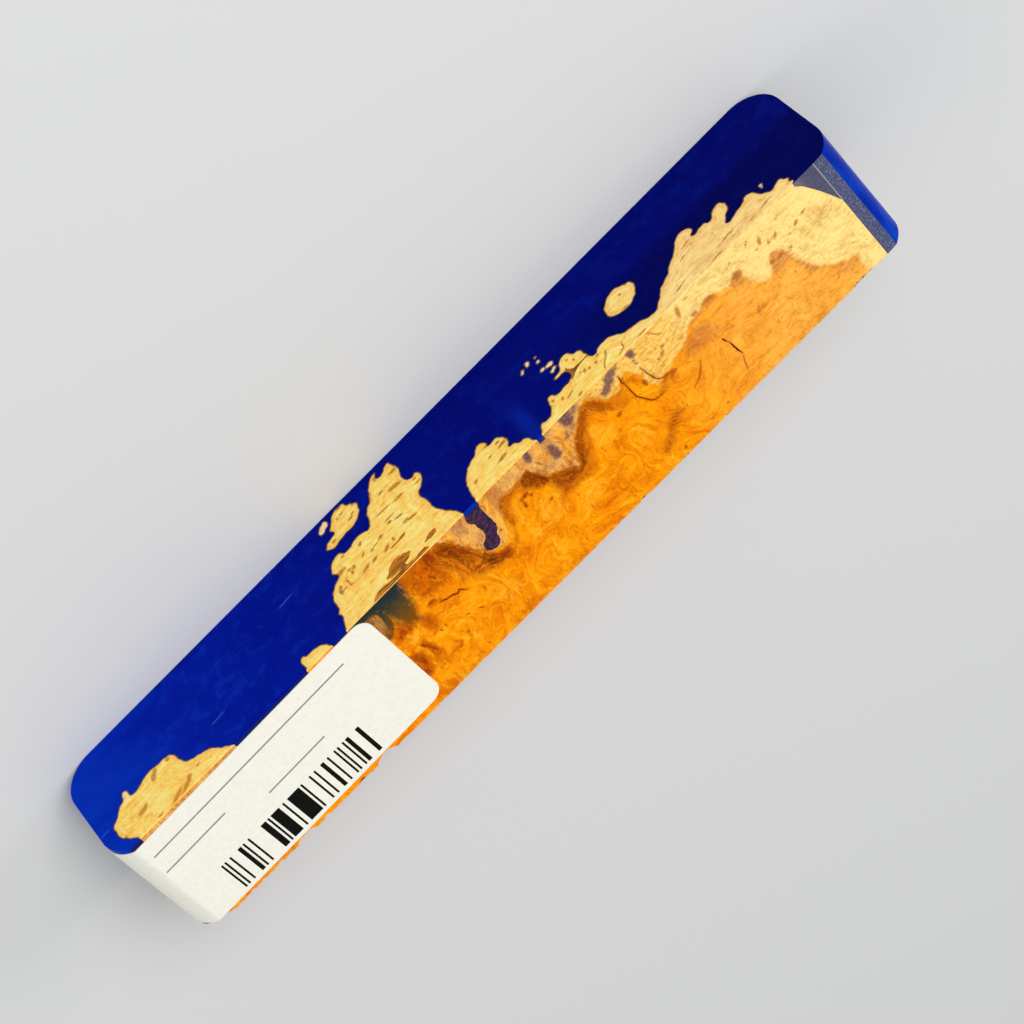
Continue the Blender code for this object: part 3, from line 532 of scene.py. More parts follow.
def add_object(name, mesh, collection):
    """Links a new object that holds the mesh or curve."""
    obj = bpy.data.objects.new(name, mesh)
    collection.objects.link(obj)
    return obj


def object_from(name, bm, collection):
    """Turns a bmesh into an object and frees it."""
    mesh = bpy.data.meshes.new(name)
    bm.to_mesh(mesh)
    bm.free()
    return add_object(name, mesh, collection)


def boolean(obj, other, operation):
    """Joins, trims or cuts one closed object by another."""
    modifier = obj.modifiers.new(f"{operation.lower()} {other.name}", "BOOLEAN")
    modifier.operation = operation
    modifier.solver = "MANIFOLD"
    modifier.object = other


def mesh_of(obj):
    """The mesh that the object's curve or modifiers give."""
    bpy.context.view_layer.update()
    graph = bpy.context.evaluated_depsgraph_get()
    return bpy.data.meshes.new_from_object(obj.evaluated_get(graph))


def settle(obj):
    """Applies the object's modifiers."""
    mesh = mesh_of(obj)
    obj.modifiers.clear()
    obj.data = mesh
    return obj


def closed(mesh, within):
    """The drawn mesh as a bmesh, with points this close joined and its faces turned outwards."""
    bm = bmesh.new()
    bm.from_mesh(mesh)
    bpy.data.meshes.remove(mesh)
    bmesh.ops.remove_doubles(bm, verts=bm.verts, dist=within)
    bmesh.ops.recalc_face_normals(bm, faces=bm.faces)
    return bm


def between(knots, x):
    """The value at x on a smooth line through (x, value) knots, all in millimetres."""
    if x <= knots[0][0]:
        return knots[0][1]
    for (x0, value0), (x1, value1) in zip(knots, knots[1:]):
        if x <= x1:
            t = (x - x0) / (x1 - x0)
            return value0 + (value1 - value0) * t * t * (3 - 2 * t)
    return knots[-1][1]


def plane_off(bm, place, normal):
    """Cuts away what is past a plane and closes the cut."""
    geometry = bm.verts[:] + bm.edges[:] + bm.faces[:]
    cut = bmesh.ops.bisect_plane(bm, geom=geometry, plane_co=place, plane_no=normal, clear_outer=True)
    edges = [item for item in cut["geom_cut"] if isinstance(item, bmesh.types.BMEdge)]
    bmesh.ops.contextual_create(bm, geom=edges)


def cast_bar():
    """The whole bar as it was cast, planed and sanded, before burl and resin are told apart."""
    bm = bmesh.new()
    bmesh.ops.create_cube(bm, size=1)
    height = TOP + PLANED
    bmesh.ops.scale(bm, vec=(2 * END, BACK - FRONT, height), verts=bm.verts)
    bmesh.ops.translate(bm, vec=(0, 0, height / 2), verts=bm.verts)
    corners = [edge for edge in bm.edges if abs(edge.verts[0].co.y - edge.verts[1].co.y) > MM]
    bmesh.ops.bevel(
        bm, geom=corners, offset=CORNER_RADIUS, segments=14, profile=0.5, affect="EDGES", material=-1
    )
    plane_off(bm, (0, 0, TOP), (0, 0, 1))
    plane_off(bm, (SANDED_START, 0, TOP), (-SANDED_DROP, 0, SANDED_LENGTH))
    bmesh.ops.recalc_face_normals(bm, faces=bm.faces)
    rim = [edge for edge in bm.edges if all(abs(vertex.co.y - FRONT) < 0.01 * MM for vertex in edge.verts)]
    bmesh.ops.bevel(bm, geom=rim, offset=RIM_BEVEL, segments=2, profile=0.5, affect="EDGES", material=-1)
    return bm


def cut_cells(bm, faces, axis, start, stop, size):
    """Cuts faces into strips across one axis, and returns the strips."""
    normal = Vector((0, 0, 0))
    normal[axis] = 1
    geometry = list({item for face in faces for item in (face, *face.edges, *face.verts)})
    count = round((stop - start) / size)
    for i in range(count + 1):
        place = normal * (start + (stop - start) * i / count) * MM
        cut = bmesh.ops.bisect_plane(bm, geom=geometry, dist=0.00001 * MM, plane_co=place, plane_no=normal)
        geometry = cut["geom"]
    return [item for item in geometry if isinstance(item, bmesh.types.BMFace)]


def side_of(bm, direction):
    """The one large flat face of the bar that looks this way."""
    flat = [face for face in bm.faces if face.normal.dot(Vector(direction)) > 0.9999]
    return [max(flat, key=lambda face: face.calc_area())]


def fine_bar():
    """The bar with its sides cut into cells, fine enough to carry the wood's marks."""
    bm = cast_bar()
    for direction, across, along in (
        ((0, 0, 1), (1, -9.6, 9.6, 0.3), (0, -59.4, 61.4, 0.3)),
        ((0, -1, 0), (2, 0.6, 19.35, 0.27), (0, -57.0, 61.4, 0.27)),
        ((0, 1, 0), (2, 0.2, 19.3, 0.8), (0, -59.4, 61.4, 0.7)),
        ((0, 0, -1), (1, -5.0, 9.6, 1.0), (0, -58.0, 58.0, 1.0)),
    ):
        faces = side_of(bm, direction)
        for axis, start, stop, size in (across, along):
            faces = cut_cells(bm, faces, axis, start, stop, size)
    return bm


def roughened(mesh, across):
    """Moves an extruded outline's points a little, the same at both its ends, as a grown edge is never smooth."""
    for vertex in mesh.vertices:
        at = Vector((vertex.co.x / MM * EDGE_WAVES, 0.5, vertex.co[across] / MM * EDGE_WAVES))
        vertex.co.x += EDGE_STRAY * noise.noise(at)
        vertex.co[across] += EDGE_STRAY * noise.noise(at + Vector((31.7, 4.1, 9.3)))


def flat_outline(name, points, front, back, collection, upright=True):
    """A smooth outline through the points, in millimetres, extruded between two places on the third axis."""
    curve = bpy.data.curves.new(name, "CURVE")
    curve.dimensions = "2D"
    curve.fill_mode = "BOTH"
    curve.extrude = (back - front) / 2
    curve.resolution_u = 5
    spline = curve.splines.new("BEZIER")
    spline.bezier_points.add(len(points) - 1)
    for knot, (u, v) in zip(spline.bezier_points, points):
        knot.co = (u * MM, v * MM, 0)
        knot.handle_left_type = "AUTO"
        knot.handle_right_type = "AUTO"
    spline.use_cyclic_u = True
    drawn = add_object(name, curve, collection)
    if upright:
        drawn.rotation_euler.x = pi / 2
        drawn.location.y = (front + back) / 2
    else:
        drawn.location.z = (front + back) / 2
    mesh = mesh_of(drawn)
    mesh.transform(drawn.matrix_world)
    bpy.data.objects.remove(drawn, do_unlink=True)
    outline = object_from(name, closed(mesh, 0.001 * MM), collection)
    roughened(outline.data, 2 if upright else 1)
    return outline


def grown_face(x, z):
    """How far along Y the burl's grown face lies at this place: a slope with lumps on it."""
    share = min(max(z / TOP, 0), 1)
    along = x / MM
    behind = between(TOP_EDGE_BEHIND, along) * share + between(FOOT_BEHIND, along) * (1 - share)
    at = Vector((x, 0, z)) / MM
    lumps = noise.fractal(at * 0.16, 0.9, 2.1, 4) + 0.5 * noise.noise(at * 0.9)
    return FRONT + (behind + LUMP_HEIGHT * lumps * sin(pi * share)) * MM


def burl_block(collection):
    """The burl behind its lobes: a block with the grown face at its front, larger all round than the bar."""
    bm = bmesh.new()
    columns, rows = GROWN_FACE_CELLS
    bmesh.ops.create_grid(bm, x_segments=columns, y_segments=rows, size=0.5)
    for vertex in bm.verts:
        x = BURL_START + (BURL_END - BURL_START) * (vertex.co.x + 0.5)
        z = -PAST + (TOP + 2 * PAST) * (vertex.co.y + 0.5)
        vertex.co = (x, grown_face(x, z), z)
    extruded = bmesh.ops.extrude_face_region(bm, geom=bm.faces[:])
    for item in extruded["geom"]:
        if isinstance(item, bmesh.types.BMVert):
            item.co.y = BACK + PAST
    bmesh.ops.triangulate(bm, faces=bm.faces)
    bmesh.ops.recalc_face_normals(bm, faces=bm.faces)
    return object_from("burl_block", bm, collection)


def spread_back(obj, factor):
    """Widens the back end of a knob, as a knob of burl is wider at its root."""
    corners = [vertex.co for vertex in obj.data.vertices]
    middle = sum(corners, Vector()) / len(corners)
    for vertex in obj.data.vertices:
        if vertex.co.y > middle.y:
            vertex.co.x = middle.x + (vertex.co.x - middle.x) * factor
            vertex.co.z = middle.z + (vertex.co.z - middle.z) * factor


def spike(along, up, radius, collection):
    """A thin spike of burl whose tip shows as a dot on the front."""
    bm = bmesh.new()
    turn = Matrix.Rotation(pi / 2, 4, "X")
    place = Matrix.Translation((along * MM, FRONT - PAST + SPIKE_LENGTH / 2, up * MM))
    bmesh.ops.create_cone(
        bm, cap_ends=True, segments=12, radius1=radius * SPIKE_ROOT * MM, radius2=radius * MM * SPIKE_TIP,
        depth=SPIKE_LENGTH, matrix=place @ turn,
    )
    for vertex in bm.verts:
        at = vertex.co / MM * 2.3
        vertex.co.x += SPIKE_STRAY * radius * MM * noise.noise(at)
        vertex.co.z += SPIKE_STRAY * radius * MM * noise.noise(at + Vector((7, 3, 5)))
    return object_from("spike", bm, collection)


def burl_form(collection):
    """What the burl is before the bar trims it: a block, with lobes, knobs and spikes that reach past the front."""
    form = burl_block(collection)
    form.name = "burl_form"
    for name, points in {**LOBES, **KNOBS}.items():
        back = 0.0 if name in KNOBS else BACK - PAST
        part = flat_outline(name, points, FRONT - PAST, back, collection)
        if name in KNOBS:
            spread_back(part, KNOB_SPREAD)
        boolean(form, part, "UNION")
    for along, up, radius in SPIKES:
        boolean(form, spike(along, up, radius, collection), "UNION")
    bay = flat_outline("bay", BAY, BAY_FLOOR * MM, TOP + 2 * PAST, collection, upright=False)
    boolean(form, bay, "DIFFERENCE")
    return settle(form)


def cracks(collection):
    """Thin wedges along each crack's line, which cut it into the top."""
    curve = bpy.data.curves.new("cracks", "CURVE")
    curve.dimensions = "3D"
    curve.bevel_depth = CRACK_HALF_WIDTH
    curve.bevel_resolution = 1
    curve.use_fill_caps = True
    for points, width in CRACKS:
        spline = curve.splines.new("POLY")
        steps = (len(points) - 1) * CRACK_STEPS
        spline.points.add(steps)
        for i, knot in enumerate(spline.points):
            place = i / CRACK_STEPS
            first = min(int(place), len(points) - 2)
            share = place - first
            x = points[first][0] * (1 - share) + points[first + 1][0] * share
            y = points[first][1] * (1 - share) + points[first + 1][1] * share
            wobble = noise.noise(Vector((x * 1.9, y * 1.9, 2.0)))
            x, y = (x + 0.12 * wobble) * MM, (y - 0.09 * wobble) * MM
            knot.co = (x, y, TOP, 1)
            taper = sin(pi * (i + 0.35) / (steps + 0.7)) ** 0.6
            knot.radius = max(0.04, width * taper * (0.85 + 0.5 * wobble))
    drawn = add_object("cracks", curve, collection)
    mesh = mesh_of(drawn)
    bpy.data.objects.remove(drawn, do_unlink=True)
    for vertex in mesh.vertices:
        vertex.co.z = TOP + (vertex.co.z - TOP) * CRACK_DEPTH
    return object_from("cracks", closed(mesh, 0.0001 * MM), collection)


def edge_bites(collection):
    """The bites that the saw tore out of the top edge at the back."""
    bm = bmesh.new()
    for along, length, depth in BITES:
        size = Matrix.Diagonal((length * MM * BITE_SPREAD, depth * MM * 2, BITE_DROP, 1))
        place = Matrix.Translation((along * MM, BACK + depth * MM, TOP + BITE_RAISED))
        made = bmesh.ops.create_uvsphere(bm, u_segments=32, v_segments=20, radius=1, matrix=place @ size)
        for vertex in made["verts"]:
            at = vertex.co / MM
            vertex.co.y += 0.22 * MM * noise.noise(at * 1.3)
            vertex.co.x += 0.15 * MM * noise.noise(at * 1.1 + Vector((5, 5, 5)))
    return object_from("edge_bites", bm, collection)


def saw_back(mesh):
    """Gives the sawn back its ridges and its top edge small nibbles, which all stay inside the bar."""
    for vertex in mesh.vertices:
        if vertex.co.y < BACK - 0.001 * MM:
            continue
        at = vertex.co / MM
        edge = min(TOP / MM - at.z, at.z, 1.0)
        ridge = 0.5 + 0.5 * sin(at.x * 2 * pi / SAW_PITCH + 1.4 * sin(at.z * 0.35))
        rough = 0.5 + 0.5 * noise.noise(at * 0.8)
        torn = max(noise.fractal(Vector((at.x * 0.8, 1.5, 3.5)), 0.9, 2.0, 3) - NIBBLE_FROM, 0.0) * NIBBLE
        torn *= max(0.0, 1 - (TOP / MM - at.z) / NIBBLE_DROP)
        vertex.co.y -= ((SAW_RIDGE * ridge + SAW_ROUGHNESS * rough) * max(edge, 0.0) + torn) * MM


def rise(value, low, high):
    """Rises smoothly from 0 to 1 between two values."""
    t = min(max((value - low) / (high - low), 0.0), 1.0)
    return t * t * (3 - 2 * t)


def mark_beside_cracks(mesh):
    """Stores on each vertex of the top how near it is to a crack: 1 at its line, 0 where its halo ends."""
    values = []
    for vertex in mesh.vertices:
        nearest = CRACK_HALO
        place = on_side(vertex, False)
        if place:
            x, y = place
            for points, _ in CRACKS:
                for (x0, y0), (x1, y1) in zip(points, points[1:]):
                    if min(x0, x1) - CRACK_HALO < x < max(x0, x1) + CRACK_HALO:
                        dx, dy = x1 - x0, y1 - y0
                        t = max(0.0, min(1.0, ((x - x0) * dx + (y - y0) * dy) / (dx * dx + dy * dy)))
                        nearest = min(nearest, hypot(x - x0 - t * dx, y - y0 - t * dy))
        values.append(1 - nearest / CRACK_HALO)
    store(mesh, "beside_cracks", values)


def inside_by(outline, x, y):
    """How far (x, y) lies inside a closed outline, in millimetres, and less than zero outside."""
    nearest = MARK_REACH**2
    inside = False
    x0, y0 = outline[-1]
    for x1, y1 in outline:
        dx, dy = x1 - x0, y1 - y0
        t = max(0.0, min(1.0, ((x - x0) * dx + (y - y0) * dy) / (dx * dx + dy * dy)))
        nearest = min(nearest, (x - x0 - t * dx) ** 2 + (y - y0 - t * dy) ** 2)
        if (y0 > y) != (y1 > y) and x < x0 + (y - y0) * dx / dy:
            inside = not inside
        x0, y0 = x1, y1
    return sqrt(nearest) * (1 if inside else -1)


def store(mesh, name, values):
    """Keeps one number for each vertex."""
    mesh.attributes.new(name, "FLOAT", "POINT").data.foreach_set("value", values)


def sapwood_depths(mesh):
    """How far each vertex lies inside the sapwood, seen from above."""
    known = {}
    depths = []
    for vertex in mesh.vertices:
        x, y = vertex.co.x / MM, vertex.co.y / MM
        key = (round(x, 2), round(y, 2))
        if key not in known:
            known[key] = max(inside_by(outline, x, y) for outline in (SAPWOOD, SAP_BY_LABEL, SAP_AT_END))
        depths.append(known[key])
    return depths


def on_side(vertex, upright):
    """A vertex's place on the front if upright is set, or else on the top, or None if it isn't there."""
    if upright:
        return (vertex.co.x / MM, vertex.co.z / MM) if vertex.co.y < FRONT + FRONT_WITHIN else None
    return (vertex.co.x / MM, vertex.co.y / MM) if vertex.co.z > TOP - TOP_WITHIN else None


def mark_areas(mesh, name, areas, upright=False):
    """Stores on each vertex how strongly it is coloured by soft areas on one side of the bar."""
    near = []
    for strength, fade, outline in areas:
        us = [u for u, _ in outline]
        vs = [v for _, v in outline]
        near.append((strength, fade, outline, min(us) - fade, max(us) + fade, min(vs) - fade, max(vs) + fade))
    values = []
    for vertex in mesh.vertices:
        most = 0.0
        place = on_side(vertex, upright)
        if place:
            u, v = place
            for strength, fade, outline, u0, u1, v0, v1 in near:
                if u0 < u < u1 and v0 < v < v1:
                    most = max(most, strength * rise(inside_by(outline, u, v), -fade / 2, fade / 2))
        values.append(most)
    store(mesh, name, values)


def mark_spots(mesh, name, spots, upright=False):
    """Stores on each vertex how far it is within small long marks on one side: 1 at a middle, 0 at a rim."""
    values = []
    for vertex in mesh.vertices:
        most = -1.0
        place = on_side(vertex, upright)
        if place:
            for u, v, half_length, half_width, tilt in spots:
                du, dv = place[0] - u, place[1] - v
                reach = 2 * max(half_length, half_width)
                if abs(du) < reach and abs(dv) < reach:
                    c, s = cos(radians(tilt)), sin(radians(tilt))
                    most = max(most, 1 - hypot((du * c + dv * s) / half_length, (dv * c - du * s) / half_width))
        values.append(most)
    store(mesh, name, values)


def mark_flow(mesh, depths):
    """Stores on each vertex a number whose level lines are the lines of the figure."""
    values = []
    for vertex, depth in zip(mesh.vertices, depths):
        at = vertex.co / MM
        drift = Vector((noise.noise(at * 0.10), noise.noise(at * 0.10 + Vector((9, 4, 7))), 0.0)) * 4.5
        wild = rise(at.x, -44, -26)
        flow = noise.noise((at + drift) * 0.15) * (2.2 + 3.6 * wild) + at.y * (0.75 - 0.5 * wild)
        flow += noise.noise(at * 0.45) * 0.7
        for x, y, reach, strength in EYES:
            apart = ((at.x - x) ** 2 + (at.y - y) ** 2 + (0.5 * (at.z - 19.5)) ** 2) / reach**2
            if apart < 9:
                flow += strength * exp(-apart)
        outside = max(-depth, 0.0)
        beside_bay = rise(at.x, -21, -17) * rise(-at.x, -10, -6) * exp(-((outside / 2.6) ** 2))
        values.append(flow * (1 - beside_bay) + outside * 1.7 * beside_bay)
    store(mesh, "flow", values)


def mark_edge_depth(mesh):
    """Stores on each vertex how far it is from the line where the wood ends on the front or the top."""
    edge_points = []
    bm = bmesh.new()
    bm.from_mesh(mesh)
    for edge in bm.edges:
        if len(edge.link_faces) != 2:
            continue
        a, b = (face.normal for face in edge.link_faces)
        flat = max(a.z, b.z) > 0.999 or min(a.y, b.y) < -0.999
        middle = (edge.verts[0].co + edge.verts[1].co) / 2
        on_rim = middle.z > TOP - 0.4 * MM and middle.y < FRONT + 0.4 * MM
        if flat and a.dot(b) < 0.5 and not on_rim and middle.y < BACK - 0.2 * MM:
            steps = max(2, int(edge.calc_length() / EDGE_STEP))
            for i in range(steps + 1):
                edge_points.append(edge.verts[0].co.lerp(edge.verts[1].co, i / steps))
    bm.free()
    tree = kdtree.KDTree(len(edge_points))
    for i, point in enumerate(edge_points):
        tree.insert(point, i)
    tree.balance()
    values = []
    for vertex in mesh.vertices:
        if vertex.co.y < FRONT + FRONT_WITHIN or vertex.co.z > TOP - FRONT_WITHIN:
            values.append(min(tree.find(vertex.co)[2] / MM, MOST_EDGE_DEPTH))
        else:
            values.append(MOST_EDGE_DEPTH)
    store(mesh, "edge_depth", values)


def smooth(mesh, degrees=SHARPEST):
    """Smooth shading, but for edges that turn by more than this."""
    mesh.shade_smooth()
    mesh.set_sharp_from_angle(angle=radians(degrees))


def label_place(along, across):
    """Where a point of the flat label lies once stuck on: on the top, round the corner or down the end."""
    top_centre = TOP + PLANED - CORNER_RADIUS
    corner_rise = TOP - top_centre
    crease = END - CORNER_RADIUS + sqrt(CORNER_RADIUS**2 - corner_rise**2)
    start_angle = asin(corner_rise / CORNER_RADIUS)
    arc_length = CORNER_RADIUS * start_angle
    outside = CORNER_RADIUS + LABEL_LIFT
    if along <= crease:
        return Vector((along, across, TOP + LABEL_LIFT))
    if along <= crease + arc_length:
        angle = start_angle - (along - crease) / CORNER_RADIUS
        height = min(top_centre + outside * sin(angle), TOP + LABEL_LIFT)
        return Vector((END - CORNER_RADIUS + outside * cos(angle), across, height))
    return Vector((END + LABEL_LIFT, across, top_centre - (along - crease - arc_length)))


def paper_label(collection):
    """The label: a rounded rectangle, with its flat place kept as its UV map, folded over the end of the bar."""
    bm = bmesh.new()
    bmesh.ops.create_grid(bm, x_segments=1, y_segments=1, size=0.5)
    bmesh.ops.scale(bm, vec=(LABEL_LENGTH, LABEL_WIDTH, 1), verts=bm.verts)
    corners = bm.verts[:]
    bmesh.ops.bevel(
        bm, geom=corners, offset=LABEL_CORNER, segments=8, profile=0.5, affect="VERTICES", material=-1
    )
    for axis, length, step in ((0, LABEL_LENGTH, LABEL_FOLD_STEP), (1, LABEL_WIDTH, LABEL_CROSS_STEP)):
        steps = int(length / step)
        for i in range(1, steps):
            place = Vector((0, 0, 0))
            place[axis] = length * (i / steps - 0.5)
            normal = Vector((0, 0, 0))
            normal[axis] = 1
            geometry = bm.verts[:] + bm.edges[:] + bm.faces[:]
            bmesh.ops.bisect_plane(bm, geom=geometry, plane_co=place, plane_no=normal)
    flat = bm.loops.layers.uv.new("sheet")
    for face in bm.faces:
        for loop in face.loops:
            loop[flat].uv = (loop.vert.co.x / LABEL_LENGTH + 0.5, loop.vert.co.y / LABEL_WIDTH + 0.5)
    bmesh.ops.rotate(bm, cent=(0, 0, 0), matrix=Matrix.Rotation(LABEL_TURN, 3, "Z"), verts=bm.verts)
    for vertex in bm.verts:
        along = LABEL_START + LABEL_LENGTH / 2 + vertex.co.x
        vertex.co = label_place(along, LABEL_MIDDLE + vertex.co.y)
    if sum((face.normal.z for face in bm.faces), 0.0) < 0:
        bmesh.ops.reverse_faces(bm, faces=bm.faces)
    label = object_from("paper_label", bm, collection)
    thickness = label.modifiers.new("paper thickness", "SOLIDIFY")
    thickness.thickness = LABEL_THICKNESS
    thickness.offset = 1.0
    return label


def on_two(operation, swapped=False):
    """A method of Value that does this operation on it and another number."""
    def method(self, other):
        return self.maths(operation, *((other, self) if swapped else (self, other)))
    return method


class Value:
    """A number that changes over a surface. Arithmetic on it adds Math nodes."""

    def __init__(self, finish, socket):
        self.finish = finish
        self.socket = socket

    def maths(self, operation, *values):
        """A Math node on these values, in this order."""
        made = self.finish.node("ShaderNodeMath", {"operation": operation}, dict(enumerate(values)))
        return Value(self.finish, made.outputs[0])

    __add__ = on_two("ADD")
    __radd__ = on_two("ADD", swapped=True)
    __sub__ = on_two("SUBTRACT")
    __rsub__ = on_two("SUBTRACT", swapped=True)
    __mul__ = on_two("MULTIPLY")
    __rmul__ = on_two("MULTIPLY", swapped=True)
    __truediv__ = on_two("DIVIDE")
    __pow__ = on_two("POWER")
    most = on_two("MAXIMUM")
    above = on_two("GREATER_THAN")

    def size(self):
        """The value without its sign."""
        return self.maths("ABSOLUTE", self)

    def floor(self):
        """The whole number at or below the value."""
        return self.maths("FLOOR", self)


class Finish:
    """A material, and what makes its nodes."""

    def __init__(self, name):
        self.material = bpy.data.materials.new(name)
        self.material.use_nodes = True
        self.tree = self.material.node_tree
        self.shader = self.tree.nodes["Principled BSDF"]

    def node(self, kind, settings=None, sockets=None):
        """Adds a node of any type: its settings first, then its sockets' values or links."""
        made = self.tree.nodes.new(kind)
        for name, value in (settings or {}).items():
            setattr(made, name, value)
        for name, value in (sockets or {}).items():
            self.connect(made.inputs[name], value)
        return made

    def connect(self, socket, value):
        """Links a socket to a value, or sets it."""
        if isinstance(value, Value):
            self.tree.links.new(value.socket, socket)
        elif isinstance(value, bpy.types.NodeSocket):
            self.tree.links.new(value, socket)
        else:
            socket.default_value = value

    def place(self):
        """The place on the object, in millimetres."""
        coordinates = self.node("ShaderNodeTexCoord")
        return self.vector("SCALE", coordinates.outputs["Object"], scale=1 / MM)

    def vector(self, operation, first, second=None, scale=None):
        """A Vector Math node."""
        sockets = {0: first}
        if second is not None:
            sockets[1] = second
        if scale is not None:
            sockets["Scale"] = scale
        return self.node("ShaderNodeVectorMath", {"operation": operation}, sockets).outputs[0]

    def joined(self, x, y, z):
        """A vector from three numbers."""
        return self.node("ShaderNodeCombineXYZ", sockets={0: x, 1: y, 2: z}).outputs[0]

    def parts(self, vector):
        """A vector's three numbers."""
        made = self.node("ShaderNodeSeparateXYZ", sockets={0: vector})
        return [Value(self, socket) for socket in made.outputs]

    def noise(self, vector, scale, detail=2.0, roughness=0.5):
        """Smooth noise from 0 to 1."""
        sockets = {"Vector": vector, "Scale": scale, "Detail": detail, "Roughness": roughness}
        return Value(self, self.node("ShaderNodeTexNoise", sockets=sockets).outputs[0])

    def squeezed(self, vector, factors, scale=1.0, detail=2.0, roughness=0.5):
        """Smooth noise with each axis scaled by its own factor."""
        return self.noise(self.vector("MULTIPLY", vector, factors), scale, detail, roughness)

    def bent(self, vector, scale, amount, detail=1.0):
        """The vector moved about by noise."""
        sockets = {"Vector": vector, "Scale": scale, "Detail": detail}
        drift = self.node("ShaderNodeTexNoise", sockets=sockets).outputs[1]
        centred = self.vector("SUBTRACT", drift, (0.5, 0.5, 0.5))
        return self.vector("ADD", vector, self.vector("SCALE", centred, scale=amount))

    def step(self, value, low, high):
        """Rises smoothly from 0 to 1 between two values, or falls if low is above high."""
        sockets = {"Value": value, "From Min": low, "From Max": high}
        made = self.node("ShaderNodeMapRange", {"interpolation_type": "SMOOTHSTEP"}, sockets)
        return Value(self, made.outputs[0])

    def within(self, value, low, high, fade):
        """1 between two values and 0 outside them, fading just within."""
        return self.step(value, low, low + fade) * self.step(value, high, high - fade)

    def mark(self, name):
        """A number stored on the mesh."""
        made = self.node("ShaderNodeAttribute", {"attribute_name": name})
        return Value(self, made.outputs["Fac"])

    def blend(self, factor, first, second):
        """The second colour over the first."""
        settings = {"data_type": "RGBA", "blend_type": "MIX", "clamp_factor": True}
        return self.node("ShaderNodeMix", settings, {0: factor, 6: first, 7: second}).outputs[2]

    def ramp(self, value, stops, light=1.0):
        """A colour for each value, through stops from 0 to 1 as (place, red, green, blue)."""
        made = self.node("ShaderNodeValToRGB", sockets={0: value})
        elements = made.color_ramp.elements
        while len(elements) < len(stops):
            elements.new(0.5)
        for element, (place, *colour) in zip(elements, stops):
            element.position = place
            element.color = tone(*colour, light)
        return made.outputs[0]

    def bump(self, height, strength):
        """Small relief that the light sees."""
        sockets = {"Height": height, "Distance": FINE_BUMP, "Strength": strength}
        return self.node("ShaderNodeBump", sockets=sockets).outputs[0]

    def dress(self, obj, **sockets):
        """Sets the shader's sockets and gives the object this one material."""
        for name, value in sockets.items():
            self.connect(self.shader.inputs[name.replace("_", " ")], value)
        obj.data.materials.clear()
        obj.data.materials.append(self.material)


def tone(red, green, blue, light=1.0):
    """A colour as the eye sees it, from 0 to 255, as the shader needs it, under this share of the full light."""
    straight = [((c / 255 + 0.055) / 1.055) ** 2.4 if c > 10 else c / 255 / 12.92 for c in (red, green, blue)]
    return (*[min(c / light, 1.0) for c in straight], 1.0)


def front_tone(red, green, blue):
    """A colour of the front, which gets less light than the top."""
    return tone(red, green, blue, FRONT_LIGHT)


